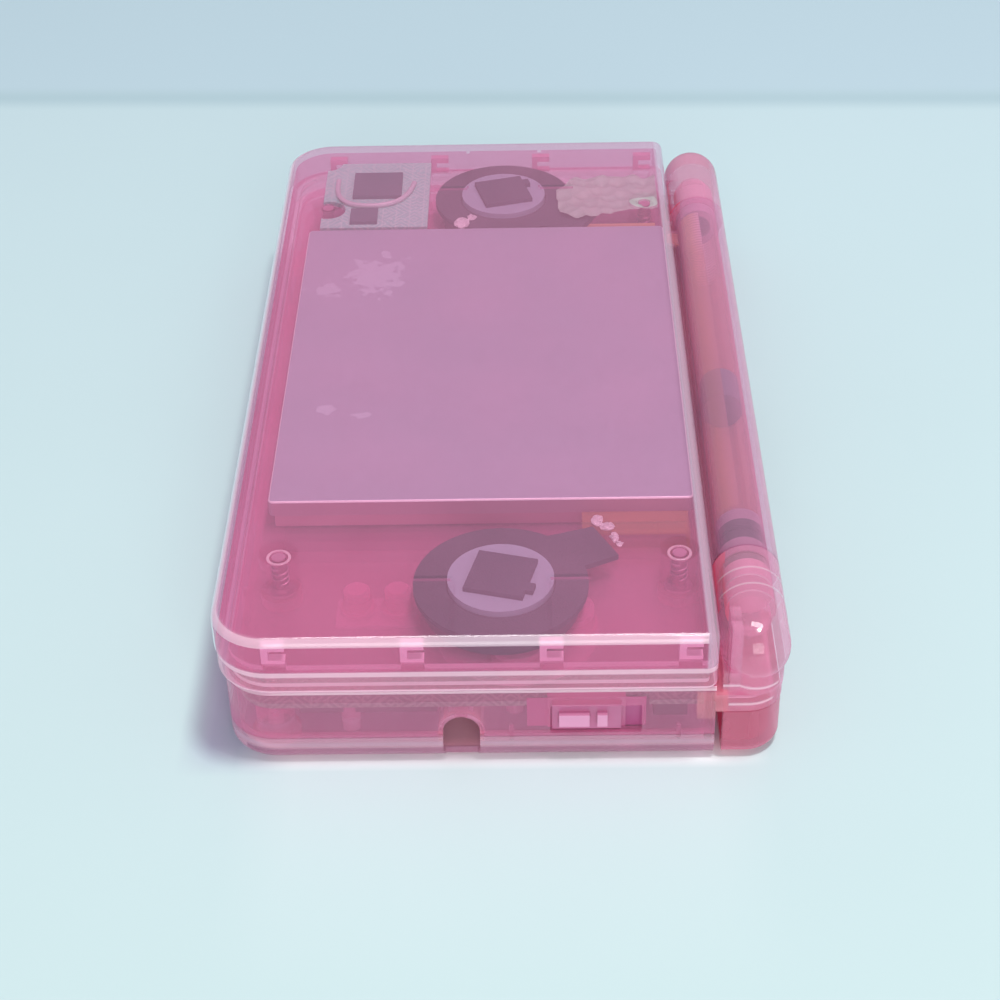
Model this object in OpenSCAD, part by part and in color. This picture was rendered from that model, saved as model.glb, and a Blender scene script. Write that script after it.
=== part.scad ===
// Clamshell handheld game console, closed, in a clear moulded shell.
// Millimetres. X runs along the hinge, +Y is the hinge side, +Z is up.
// The origin is on the table under the middle of the closed case.

/* [Case] */
// Length of the closed case along the hinge
case_len = 133; // [131:0.5:138]
// Depth of the closed case, front edge to the back of the barrel
case_wid = 73.9; // [73.4:0.1:76]
// Height of the closed case above the table
case_high = 21.5; // [21.3:0.1:23]
// Wall of the moulded shells
wall = 1.2; // [1:0.05:1.3]
// How far the lower half is set in under the lid
base_inset = 1; // [0.8:0.1:1.2]
// Plan radius of the front corners
front_corner = 7.5; // [6.5:0.25:8]
// Plan radius of the lower half's back corners
back_corner = 4.8; // [4.4:0.1:5.2]
// Plan radius of the lid's back corners
lid_back_corner = 1.6; // [1.4:0.1:2.5]
// Rounding along the bottom edge of the case
bottom_round = 1.8; // [1.7:0.1:2.4]
// Rounding along the lid's top edge
top_round = 1.3; // [0.8:0.1:1.4]
// Rounding of the rims where the two halves meet
rim_round = 0.6; // [0.3:0.1:0.8]

/* [Levels] */
// Height that the feet lift the bottom case
foot_lift = 0.3; // [0.2:0.05:0.4]
// Height of the seam between the bottom case and the control deck
seam_z = 4.2; // [3.9:0.1:4.4]
// Open line left along the seam
seam_line = 0.15; // [0.1:0.05:0.2]
// Height of the control deck's top face
deck_z = 12.2; // [12.1:0.05:12.3]
// Thickness of the control deck's top
deck_thick = 1.2; // [1.1:0.05:1.25]
// Gap between the closed halves
part_gap = 0.4; // [0.3:0.05:0.5]
// Height of the lid frame's rim
rim_high = 3.7; // [3.5:0.1:3.9]
// Depth of the lid's inner face behind its rim
face_recess = 1.4; // [1.3:0.05:1.5]
// Thickness of the lid frame's panel
panel_thick = 1; // [0.9:0.05:1.1]
// Height of the main board's underside
board_z = 8; // [8:0.05:8.1]
// Thickness of the circuit boards
board_thick = 0.8; // [0.7:0.05:0.85]

/* [Hinge] */
// Radius of the hinge barrel and ears
barrel_r = 4.55; // [4.4:0.05:4.6]
// Height of the hinge axis
hinge_z = 16.2; // [16:0.1:16.5]
// Radius of the bore inside the barrel and ears
barrel_bore = 3.3; // [3.1:0.05:3.4]
// Length of each ear up to its dome
ear_len = 14.55; // [14.2:0.05:14.8]
// Gap between the lid's barrel and each ear
knuckle_gap = 0.3; // [0.2:0.05:0.4]
// Gap between the lid's straight back edge and the ears
lid_slit = 0.35; // [0.3:0.05:0.5]
// Radius of the key shaft in the clutch
key_r = 1.55; // [1.3:0.05:1.8]
// Running clearance on the radius of turning parts
run_gap = 0.05; // [0.03:0.01:0.08]
// Length of the clutch unit in the barrel
clutch_len = 9.4; // [8:0.2:9.6]

/* [Displays] */
// Width of each display's opening
view_len = 63; // [60:0.5:64]
// Depth of each display's opening
view_wid = 48; // [45:0.5:48.5]
// Shift of the displays towards the hinge from the lid's middle
view_shift = 0.225; // [-0.1:0.025:0.4]
// Length of the lower display module
low_len = 70; // [68:0.5:71]
// Depth of the lower display module
low_wid = 52.4; // [51:0.2:52.6]
// Border of the display windows around their openings
view_lip = 1.8; // [1.4:0.1:2]
// Gap between the back plate and the left speaker's gasket
pan_gap_left = 0.5; // [0.3:0.1:1.5]
// Gap between the back plate and the right speaker's gasket
pan_gap_right = 5; // [4.6:0.1:6]
// Distance of the back plate from the lid's front face
pan_inset = 4.95; // [4.5:0.05:5.5]
// Height of the upper display module
up_thick = 4.1; // [3.9:0.05:4.2]
// Thickness of the back plate's steel
pan_sheet = 0.6; // [0.5:0.05:0.7]

/* [Speakers] */
// Distance of each speaker's middle from the end of the case
speaker_inset = 15; // [14.8:0.05:15.3]
// Radius of the speaker's basket
basket_r = 10.4; // [9.5:0.1:10.6]
// Height of the speaker's basket
basket_high = 2.8; // [2.6:0.1:3]
// Radius of the foam gasket
gasket_r = 11.5; // [11:0.1:11.7]
// Thickness of the foam gasket
gasket_thick = 0.8; // [0.6:0.05:0.9]
// Radius of the magnet
magnet_r = 7; // [6:0.1:7.5]
// Height of the magnet
magnet_high = 1.6; // [1.4:0.05:1.7]
// Side of the square foam pad on the magnet
pad_side = 8; // [7:0.25:9]
// Thickness of the square foam pad
pad_thick = 0.7; // [0.5:0.05:0.8]
// Turn of the square foam pad
pad_turn = 15; // [0:1:20]
// Radius of the holes of the speaker grille
grille_r = 0.8; // [0.6:0.05:1]
// Spacing of the holes of the speaker grille
grille_step = 3; // [2.6:0.1:3.4]

/* [Controls] */
// Shift of the button groups outwards in the room beside the display
control_shift = 0.35; // [0:0.05:0.6]
// Place of the pad and the face buttons, front to back
control_y = 2; // [1:0.25:3]
// Length of each bar of the directional pad
cross_len = 19.6; // [18:0.2:20]
// Width of each bar of the directional pad
cross_wid = 6.8; // [6:0.1:7.2]
// Gap around the directional pad
cross_gap = 0.35; // [0.3:0.05:0.45]
// Radius of a face button
face_r = 3.3; // [3:0.05:3.5]
// Distance of each face button from the middle of its group
face_step = 7; // [6.8:0.1:7.2]
// Radius of the start and select buttons
small_r = 1.8; // [1.6:0.05:2]
// Distance of the start and select buttons inwards from the face buttons
small_in = 4; // [3:0.25:5]
// Place of the start button, front to back
start_y = -14; // [-15:0.25:-13.5]
// Place of the select button, front to back
select_y = -19.5; // [-21:0.25:-19]
// Gap around the round buttons
button_gap = 0.15; // [0.1:0.05:0.2]
// How far the buttons stand above the deck
button_proud = 1.1; // [0.8:0.05:1.2]
// Travel of the round buttons
button_travel = 0.6; // [0.5:0.02:0.62]

/* [Shoulder buttons] */
// Length of the corner pocket for a shoulder button
pocket_len = 20.3; // [19.9:0.1:20.5]
// Depth of the corner pocket from the back face
pocket_deep = 8.9; // [8.8:0.05:9]
// Roof of the corner pocket
pocket_z = 8.2; // [8.15:0.05:8.4]
// Gap in front of the shoulder button's end
press_gap = 1; // [0.95:0.05:1.2]
// Gap round the other edges of a shoulder button
edge_gap = 0.2; // [0.15:0.05:0.3]
// Distance of the shoulder pins from the pocket's inner wall
pin_in = 3.1; // [2.9:0.1:3.4]
// Distance of the shoulder pins from the back face
pin_back = 3.9; // [3.5:0.1:4.1]
// Radius of the shoulder pins
pin_r = 0.7; // [0.6:0.05:0.8]
// Radius of the lug round a shoulder pin
lug_r = 2.2; // [1.9:0.05:2.3]

/* [End and edge openings] */
// Width of the stylus channel
stylus_wid = 4.8; // [4.6:0.1:5]
// Height of the stylus channel's arch
stylus_high = 5.8; // [5.5:0.1:5.9]
// Space between the card slot and the stylus channel
stylus_web = 2.9; // [2.8:0.05:3]
// Space between the battery and the stylus channel's end
stylus_end_gap = 3; // [2.6:0.1:5]
// Wall round the stylus channel
channel_wall = 0.6; // [0.5:0.05:0.6]
// Distance of the power slide's window from the corner pocket
power_back = 15.3; // [14.8:0.1:15.8]
// Length of the power slide's window
power_len = 11.8; // [11.4:0.1:12.2]
// Travel of the power slide
power_travel = 2.4; // [2:0.1:2.5]
// Height of the middle of the power slide's window
power_z = 7.1; // [7:0.05:7.15]
// Height of the power slide's window
power_high = 4.6; // [4.2:0.1:4.7]
// Length of the volume slide's window
volume_len = 11.6; // [11.2:0.1:11.8]
// Travel of the volume slide
volume_travel = 6; // [5:0.1:6.2]
// Height of the volume slide's window
volume_high = 3.2; // [3:0.1:3.4]
// Width of the memory card's slot
card_wid = 33.8; // [33.6:0.1:34]
// Height of the memory card's slot
card_high = 4.4; // [4.3:0.05:4.45]
// Depth of the memory card's slot
card_deep = 34; // [33:0.1:34.2]
// Middle of the cartridge slot along the front
cart_x = -5; // [-5.3:0.1:-4.8]
// Width of the cartridge slot
cart_wid = 60; // [59:0.1:60.2]
// Height of the cartridge slot
cart_high = 6.8; // [6.5:0.05:6.85]
// Distance of the headphone jack from the cartridge slot
jack_gap = 15; // [14.5:0.1:15.5]
// Height of the headphone jack's bore
jack_z = 5.2; // [5.1:0.05:5.3]
// Radius of the headphone jack's bore
jack_r = 1.78; // [1.77:0.01:1.85]
// Depth of the headphone jack's bore
jack_deep = 13.4; // [12.5:0.1:14]
// Distance of the charging socket from the card slot
charge_gap = 13.1; // [12.6:0.1:14.1]
// Width of the charging socket's mouth
charge_wid = 6; // [5.5:0.1:6.5]
// Height of the charging socket's mouth
charge_high = 3.4; // [3:0.1:3.6]

/* [Battery and fasteners] */
// Length of the battery
battery_len = 30.4; // [29:0.2:30.6]
// Depth of the battery
battery_wid = 26.2; // [25:0.2:26.4]
// Thickness of the battery
battery_thick = 5.4; // [5:0.05:5.8]
// Radius of a screw's shank
shank_r = 0.95; // [0.8:0.05:1]
// Radius of a screw's head
head_r = 1.9; // [1.7:0.05:2]
// Height of a screw's head
head_high = 0.8; // [0.7:0.05:0.9]
// Radius of a post that takes a screw
post_r = 2.6; // [2.4:0.05:2.7]
// Radius of a rubber foot
foot_r = 3.2; // [2.9:0.05:3.3]
// Distance of the front case screws from the end of the lower half
screw_end_inset = 6; // [5.8:0.1:6.5]
// Distance of the front case screws from its front face
screw_front_inset = 5.95; // [5.75:0.05:6.35]
// Gap between the card slot and the back screws' posts
screw_card_gap = 1.3; // [1.1:0.1:1.5]
// Distance of the back case screws behind the lower display
screw_display_gap = 2.7; // [2.5:0.1:3]
// Distance of the lid screws from the end of the case
lid_screw_inset = 19.5; // [19.3:0.1:19.7]
// Distance of the lid's front screws from its front face
lid_screw_front_inset = 7.55; // [7.35:0.05:7.95]
// Distance of the lid's back screws from its back face
lid_screw_back_inset = 3.9; // [3.8:0.1:4.1]

/* [Hidden] */

// smoothness, a hair of overlap, and a length past everything
smooth = 48;
fine = 32;
tiny = 0.01;
far = 200;

shell_colour = "palevioletred";
knob_colour = "hotpink";
button_colour = "lightpink";
dark_colour = "dimgray";
glass_colour = "slategray";
steel_colour = "silver";
board_colour = "darkolivegreen";
foam_colour = "#5a4656";
flex_colour = "darkorange";
rubber_colour = "gainsboro";

// clearances
part_clear = 0.1;
pilot_gap = 0.05;
cover_gap = 0.15;
barrel_clear = 0.65;

// outlines
lid_front = -case_wid / 2;
hinge_y = case_wid / 2 - barrel_r;
lid_back = hinge_y - barrel_r - lid_slit;
base_len = case_len - 2 * base_inset;
base_front = lid_front + base_inset;
base_back = hinge_y + barrel_r - barrel_clear;
base_corner = front_corner - base_inset;
end_x = base_len / 2;
end_in = end_x - wall;
front_in = base_front + wall;

// levels of the lower half
floor_z = foot_lift + wall;
deck_low = seam_z + seam_line;
deck_under = deck_z - deck_thick;
trough_z = hinge_z - barrel_r - barrel_clear;
board_top = board_z + board_thick;
mat_thick = 0.3;
mat_top = board_top + mat_thick;
unit_low = 5;
glass_sink = 0.4;

// levels of the lid
lid_low = deck_z + part_gap;
split_z = lid_low + rim_high;
frame_inset = 0.25;
frame_line = 0.1;
panel_z = lid_low + face_recess;
panel_top = panel_z + panel_thick;
cover_under = case_high - wall;
lid_wall = 1;
rim_wall = 1.5;
window_thick = 0.6;

// hinge
dome_inset = 0.3;
ear_dome_x = case_len / 2 - dome_inset - barrel_r;
ear_in = ear_dome_x - ear_len;
barrel_half = ear_in - knuckle_gap;
fit_r = barrel_bore - run_gap;
ear_bore_len = 8;
ear_step_len = 2.2;
ear_bore_step = 0.8;
key_len = 6;
key_drum_len = 4.6;
key_step = 0.6;
bush_grip = 2.2;
bush_bore = 2.2;

// corner pockets and shoulder buttons
pocket_x = end_x - pocket_len;
pocket_y = base_back - pocket_deep;
pin_x = pocket_x + pin_in;
pin_y = base_back - pin_back;
pin_low = foot_lift + 0.6;
pin_end = 0.7;
button_inset = 0.1;
button_wall = 1.3;
button_top = pocket_z - edge_gap;
button_low = foot_lift + 0.3;
wing_x = pocket_x + 5.8;
arm_inset = 6.5;
arm_x = end_x - arm_inset;
arm_half = 1;
arm_z = 5;
arm_high = 2;
arm_slack = 0.4;
arm_tip = pocket_y - wall - part_clear;
lug_top = 6;
switch_half = 2.8;
switch_deep = 4.4;
switch_gap = 2;

// card slot, with the stylus channel in front of it
sheet = 0.4;
card_top = board_z - sheet;
card_low = card_top - card_high;
card_back = base_back - wall - part_clear;
card_front = card_back - card_deep;
stylus_y = card_front - sheet - stylus_web - channel_wall - stylus_wid / 2;
stylus_front = stylus_y - stylus_wid / 2 - channel_wall;

// cartridge slot
cart_low = floor_z;
cart_top = cart_low + cart_high;
cart_back = stylus_front - 2 * part_clear;
cart_left = cart_x - cart_wid / 2;
cart_right = cart_x + cart_wid / 2;
cart_frame_front = base_front + bottom_round + part_clear;
connector_deep = 4.4;
connector_gap = 3.05;
slot_cover_deep = cart_back - connector_deep - connector_gap - base_front;
cover_slack = 0.15;

// sockets
jack_x = cart_right + jack_gap;
jack_nose_r = 2.7;
jack_body_half = 3.5;
jack_body_front = front_in + 0.6;
jack_body_back = base_front + jack_deep + 1;
charge_x = card_wid / 2 + charge_gap;
charge_z = 5.6;
charge_shell = 0.5;

// places of the screws and feet
foot_sink = 0.6;
foot_top = foot_lift + foot_sink;
head_top = foot_top + head_high;
screw_top = 9.4;
screw_front_x = end_x - screw_end_inset;
screw_front_y = base_front + screw_front_inset;
screw_back_x = card_wid / 2 + sheet + screw_card_gap + post_r;
view_y = (lid_front + lid_back) / 2 + view_shift;
low_shift = 0.2;
low_back = view_y + low_shift + low_wid / 2;
screw_back_y = low_back + screw_display_gap;
case_screw_spots = [
  [screw_front_x, screw_front_y], [-screw_front_x, screw_front_y],
  [screw_back_x, screw_back_y], [-screw_back_x, screw_back_y]
];
lid_screw_x = case_len / 2 - lid_screw_inset;
lid_screw_front = lid_front + lid_screw_front_inset;
lid_screw_back = lid_back - lid_screw_back_inset;
lid_screw_top = 19.6;
lid_screw_spots = [
  [lid_screw_x, lid_screw_front], [-lid_screw_x, lid_screw_front],
  [lid_screw_x, lid_screw_back], [-lid_screw_x, lid_screw_back]
];

// battery bay
bay_screw_gap = 1.2;
bay_cart_gap = 1.5;
bay_gap = 0.5;
bay_lift = 0.6;
battery_right = -(screw_back_x + post_r + bay_screw_gap);
battery_left = battery_right - battery_len;
battery_front = cart_back + bay_cart_gap;
battery_back = battery_front + battery_wid;
contact_len = 12;
rail_wid = 0.9;
rail_high = 2;
rail_inset = 4;
hook_wid = 2.4;
hook_reach = 0.4;
cover_tab_x = battery_left + 7.4;
cover_tab_r = 3;
cover_tab_y = battery_front - bay_gap - 2.4;
tab_pad_r = cover_tab_r + 1.4;
tab_pad_high = 1.2;
tab_post_high = 4;
stylus_end = battery_right + stylus_end_gap;
band_deep = 0.4;
notch_inset = 0.3;

// power and volume slides
knob_gap = 0.25;
flange_thick = 1;
flange_over = 0.6;
flange_set = 0.2;
stem_low = 6;
stem_high = 7.6;
stem_slack = 0.2;
power_y = pocket_y - power_back;
power_rest = power_y - power_len / 2 + knob_gap;
power_knob_len = power_len - power_travel - 2 * knob_gap;
power_stem = power_rest + power_knob_len / 2;
power_unit_x = end_in - 1.5;
power_unit_deep = 5.4;
volume_x = (cart_left - sheet - screw_front_x + post_r) / 2;
volume_rest = volume_x - volume_len / 2 + knob_gap;
volume_knob_len = volume_len - volume_travel - 2 * knob_gap;
volume_stem = volume_rest + volume_knob_len / 2;
volume_unit_y = front_in + 1.5;
volume_unit_deep = 3.6;

// boards and the parts on them
board_slack = 0.2;
board_edge = 0.5;
unit_room = 1.7;
board_post_r = 1.3;
card_post_gap = 2.7;
card_post_y = 6;
can_post_in = 5.5;
can_post_y = screw_front_y + 10;
board_posts = [
  [end_x - 8.5, stylus_y + 6.9], [-(card_wid / 2 + sheet + card_post_gap), card_post_y],
  [end_x - can_post_in, can_post_y], [-(end_x - 4.5), stylus_y - 6.7]
];
can_left = jack_x + 7;
can_right = end_x - 4.1;
can_front = screw_front_y + post_r + 0.9;
can_back = stylus_front - 0.3;
wireless_right = end_in - 10.3;
wireless_len = 26;
wireless_front = stylus_y + 8.3;
wireless_back = pocket_y - 5.4;
chip_inset = 2;
chip_end_inset = 8;
chip_high = 1.6;

// displays
glass_slack = 0.15;

// buttons
control_x = (low_len / 2 + end_in) / 2 + control_shift;
small_x = control_x - small_in;
round_buttons = [
  [control_x, control_y + face_step, face_r], [control_x + face_step, control_y, face_r],
  [control_x, control_y - face_step, face_r], [control_x - face_step, control_y, face_r],
  [small_x, start_y, small_r], [small_x, select_y, small_r]
];
collar_wid = 0.7;
collar_deep = 0.3;
button_base = mat_top + button_travel + 0.02;
button_flange = 0.55;
button_flange_thick = 0.6;
button_edge = 0.4;
mat_rim = 0.65;
hub_r = 1.6;
hub_gap = 0.12;
hub_low = mat_top + 0.2;
pad_flange = 0.9;
pad_flange_low = mat_top + 0.65;
pad_flange_thick = 0.55;
dish_r = 15;
dish_deep = 0.4;

// light pipes in the right ear
pipe_len = 2;
pipe_wid = 1.4;
pipe_y = pocket_y + 1.9;
pipe_top = hinge_z + 3.2;
pipe_spots = [ear_dome_x - 2.65, ear_dome_x + 0.25];

// parts in the lid
speaker_x = case_len / 2 - speaker_inset;
basket_bevel = 0.8;
grille_cols = [-1, 0, 1];
grille_rows = [-0.5, 0.5];
speaker_rib_gap = 0.6;
speaker_rib_y = 6.2;
speaker_rib_end = 9;
speaker_rib_half = 2.8;
rib_wid = 0.6;
end_rib_deep = 1.2;
end_rib_spots = [power_y - power_len / 2 - 5.3, power_y + power_len / 2 + 4.6];
recess_half = 1.1;
recess_wid = 0.4;
recess_deep = 0.45;
rib_high = 0.45;
pan_left = -(speaker_x - gasket_r - pan_gap_left);
pan_right = speaker_x - gasket_r - pan_gap_right;
pan_middle = (pan_left + pan_right) / 2;
pan_front = lid_front + pan_inset;
pan_back = lid_back - lid_wall - 0.2;
pan_top = panel_top + up_thick + pan_sheet;
pan_deep = 2.4;
pan_corner = 0.8;
pan_edge = 0.3;
snap_inset = 0.2;
snap_thick = 1.3;
snap_half = 1.5;
snap_front = lid_front + 8.25;
snap_back = lid_back - 3.5;
snap_top = cover_under - 0.6;
snap_stem = 0.9;
snap_slot = 1.5;
snap_slot_low = snap_top - snap_slot - 0.9;
antenna_z = 18.4;
antenna_left = -(case_len / 2 - 3.2);
antenna_right = pan_left - 1.5;
antenna_front = lid_front + 6.55;
antenna_back = -(gasket_r + 1.1);
antenna_notch = 2.4;
antenna_post_r = 1.4;
antenna_post_in = 2.8;
antenna_posts = [
  [antenna_left + antenna_post_in, antenna_front + antenna_post_in],
  [antenna_left + antenna_post_in, antenna_back - antenna_post_in],
  [antenna_right - antenna_post_in, antenna_back - antenna_post_in]
];
module_len = 8.1;
module_wid = antenna_back - antenna_front - 9.6;
module_high = 0.7;
module_left = antenna_left + 4.6;
module_back = antenna_back - 4.7;
plug_len = 4.5;
plug_high = 0.6;
plug_right = antenna_right - 1;
plug_back = (antenna_front + antenna_back) / 2 + 0.5;
flex_thick = 0.3;
flex_wid = 3.8;
flex_left = -(barrel_half - bush_grip - 0.6);
flex_right = flex_left + flex_wid;
flex_front = 12;
flex_tail = 6;
flex_top = panel_top + 2.6;
flex_low = panel_top + 0.5;
flex_step_y = pan_back - 1;
flex_end_y = hinge_y - barrel_bore + 0.5;
flex_slot_high = 0.9;
flex_roll_end = barrel_half - clutch_len - 1;
lead_left = pan_right + 0.6;
lead_wid = 4.8;
lead_front = 11;
lead_top = panel_top + basket_high;
lead_step_y = pan_back - 0.8;
tape_thick = 0.25;
tape_z = panel_top + basket_high + gasket_thick;
mic_x = 6;
mic_len = 7;
mic_hole_r = 0.6;
cap_rim = 0.9;

// plan outline with front and back corner radii
module plan(len, front, back, front_r, back_r) {
  half = len / 2;
  middle = (front + back) / 2;
  union() {
    translate([-half, front + front_r]) square([len, back - front - front_r - back_r]);
    translate([-half + front_r, front]) square([len - 2 * front_r, middle - front]);
    translate([-half + back_r, middle]) square([len - 2 * back_r, back - middle]);
    for (side = [-1, 1]) {
      translate([side * (half - front_r), front + front_r]) circle(r = front_r, $fn = smooth);
      translate([side * (half - back_r), back - back_r]) circle(r = back_r, $fn = smooth);
    }
  }
}

// straight-sided block on that outline
module plan_block(len, front, back, front_r, back_r, low, high) {
  translate([0, 0, low])
    linear_extrude(high - low) plan(len, front, back, front_r, back_r);
}

// section of a block whose two lower edges are rounded
module edge_section(from, to, low, high, edge) {
  intersection() {
    translate([from, low]) square([to - from, high - low]);
    union() {
      translate([from, low + edge]) square([to - from, high - low]);
      translate([from + edge, low]) square([to - from - 2 * edge, high - low]);
      for (spot = [from + edge, to - edge])
        translate([spot, low + edge]) circle(r = edge, $fn = smooth);
    }
  }
}

// half section for a rounded corner
module corner_section(radius, low, high, edge) {
  intersection() {
    edge_section(-radius, radius, low, high, edge);
    translate([0, low]) square([radius, high - low]);
  }
}

// block with a rounded lower edge all round its outline
module soft_block(len, front, back, front_r, back_r, low, high, edge) {
  half = len / 2;
  union() {
    translate([0, back - back_r, 0]) rotate([90, 0, 0])
      linear_extrude(back - back_r - front - front_r) edge_section(-half, half, low, high, edge);
    translate([-(half - front_r), 0, 0]) rotate([90, 0, 90])
      linear_extrude(len - 2 * front_r) edge_section(front, back, low, high, edge);
    translate([-(half - back_r), 0, 0]) rotate([90, 0, 90])
      linear_extrude(len - 2 * back_r) edge_section((front + back) / 2, back, low, high, edge);
    for (side = [-1, 1]) {
      translate([side * (half - front_r), front + front_r, 0])
        rotate_extrude($fn = smooth) corner_section(front_r, low, high, edge);
      translate([side * (half - back_r), back - back_r, 0])
        rotate_extrude($fn = smooth) corner_section(back_r, low, high, edge);
    }
  }
}

// the same block turned over, rounded along its upper edge
module soft_top(len, front, back, front_r, back_r, low, high, edge) {
  translate([0, 0, low + high]) mirror([0, 0, 1])
    soft_block(len, front, back, front_r, back_r, low, high, edge);
}

// lower half's outer form, set in by a given amount
module base_form(inset, low, high) {
  soft_block(base_len - 2 * inset, base_front + inset, base_back - inset, base_corner - inset,
    back_corner - inset, low, high, bottom_round - inset);
}

// straight inside of the lower half
module base_inside(inset, low, high) {
  plan_block(base_len - 2 * inset, base_front + inset, base_back - inset, base_corner - inset,
    back_corner - inset, low, high);
}

// box given by its two corners
module span(from, to) {
  translate(from) cube(to - from);
}

// a shape and its mirror image across the middle
module both_sides() {
  children();
  mirror([1, 0, 0]) children();
}

// screw with a flat head at the bottom and its shank pointing up
module screw(head_low, shank_top) {
  translate([0, 0, head_low]) difference() {
    cylinder(r = head_r, h = head_high, $fn = smooth);
    // cross recess for the driver
    for (turn = [0, 90]) rotate([0, 0, turn])
      span([-recess_half, -recess_wid / 2, -1], [recess_half, recess_wid / 2, recess_deep]);
  }
  translate([0, 0, head_low + head_high - tiny])
    cylinder(r = shank_r, h = shank_top - head_low - head_high + tiny, $fn = smooth);
}

// arch that runs along X, flat below and round on top
module arch(wide, high, from, to) {
  translate([from, 0, 0]) rotate([90, 0, 90]) linear_extrude(to - from) union() {
    translate([-wide / 2, 0]) square([wide, high - wide / 2]);
    translate([0, high - wide / 2]) circle(r = wide / 2, $fn = smooth);
  }
}

// walls that close off a corner pocket from the inside of the case
module pocket_walls(low, high) {
  both_sides() difference() {
    intersection() {
      base_inside(wall / 2, low, high);
      span([pocket_x - wall, pocket_y - wall, low], [far, far, high]);
    }
    span([pocket_x, pocket_y, low - 1], [far, far, high + 1]);
  }
}

// room left in both shells for the slots, windows and holes
module shell_openings() {
  // stylus hole
  translate([0, stylus_y, floor_z]) arch(stylus_wid, stylus_high, end_in - 1, far);
  // memory card slot
  span([-card_wid / 2, hinge_y, card_low], [card_wid / 2, far, card_top]);
  // cartridge slot
  span([cart_left, -far, cart_low], [cart_right, front_in + wall, cart_top]);
  // headphone jack
  translate([jack_x, front_in + wall, jack_z]) rotate([90, 0, 0])
    cylinder(r = jack_nose_r + cover_gap, h = 3 * wall, $fn = smooth);
  // charging socket
  span([charge_x - charge_wid / 2, hinge_y, charge_z - charge_high / 2],
    [charge_x + charge_wid / 2, far, charge_z + charge_high / 2]);
}

module bottom_case() {
  color(shell_colour) difference() {
    union() {
      difference() {
        base_form(0, foot_lift, seam_z);
        base_form(wall, floor_z, seam_z + 1);
      }
      pocket_walls(floor_z - tiny, seam_z);
      // posts round the case screws
      for (spot = case_screw_spots)
        translate([spot[0], spot[1], foot_top + tiny])
          cylinder(r = post_r, h = seam_z - foot_top - tiny, $fn = smooth);
      // posts that carry the main board
      for (spot = board_posts)
        translate([spot[0], spot[1], floor_z - tiny])
          cylinder(r = board_post_r, h = board_z - floor_z + tiny, $fn = fine);
      // stylus channel, an arched tube on the floor
      translate([0, stylus_y, floor_z - tiny])
        arch(stylus_wid + 2 * channel_wall, stylus_high + channel_wall, stylus_end, end_in - part_clear);
      // pad and post over the battery cover's screw tab
      translate([cover_tab_x, cover_tab_y, floor_z - tiny])
        cylinder(r = tab_pad_r, h = tab_pad_high, $fn = smooth);
      translate([cover_tab_x, cover_tab_y, floor_z])
        cylinder(r = post_r, h = tab_post_high, $fn = smooth);
      // short ribs inside both end walls
      both_sides() for (spot = end_rib_spots)
        span([end_in - end_rib_deep, spot, floor_z - tiny], [end_in + tiny, spot + rib_wid, seam_z]);
      // rails beside the battery
      for (rail = [battery_left - bay_gap - rail_wid, battery_right + bay_gap])
        span([rail, battery_front + rail_inset, floor_z - tiny],
          [rail + rail_wid, battery_back - rail_inset, floor_z + rail_high]);
    }
    // corner pockets, open below under each button's wing
    both_sides() {
      span([pocket_x, pocket_y, floor_z], [far, far, pocket_z]);
      span([wing_x, pocket_y, -1], [far, far, pocket_z]);
    }
    shell_openings();
    // inside of the stylus channel
    translate([0, stylus_y, floor_z]) arch(stylus_wid, stylus_high, stylus_end + 1, far);
    // finger notch under the stylus hole
    span([end_in + part_clear, stylus_y - stylus_wid / 2 + notch_inset, 0],
      [far, stylus_y + stylus_wid / 2 - notch_inset, floor_z + 1]);
    // battery opening with the screw tab's place
    span([battery_left - bay_gap, battery_front - bay_gap, -1],
      [battery_right + bay_gap, battery_back, floor_z + tab_pad_high]);
    translate([cover_tab_x, cover_tab_y, -1])
      cylinder(r = cover_tab_r + cover_gap, h = floor_z + 1, $fn = smooth);
    span([cover_tab_x - cover_tab_r - cover_gap, cover_tab_y, -1],
      [cover_tab_x + cover_tab_r + cover_gap, battery_front, floor_z]);
    translate([cover_tab_x, cover_tab_y, 0])
      cylinder(r = shank_r + pilot_gap, h = floor_z + tab_post_high - bay_lift, $fn = fine);
    // feet, screw heads and shanks
    for (spot = case_screw_spots) translate([spot[0], spot[1], 0]) {
      cylinder(r = foot_r + pilot_gap, h = foot_top, $fn = smooth);
      cylinder(r = head_r + pilot_gap, h = head_top, $fn = smooth);
      cylinder(r = shank_r + 2 * pilot_gap, h = seam_z + 1, $fn = fine);
    }
    // sockets of the shoulder pins
    both_sides() translate([pin_x, pin_y, pin_low]) cylinder(r = pin_r + tiny, h = seam_z, $fn = fine);
  }
}

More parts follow.
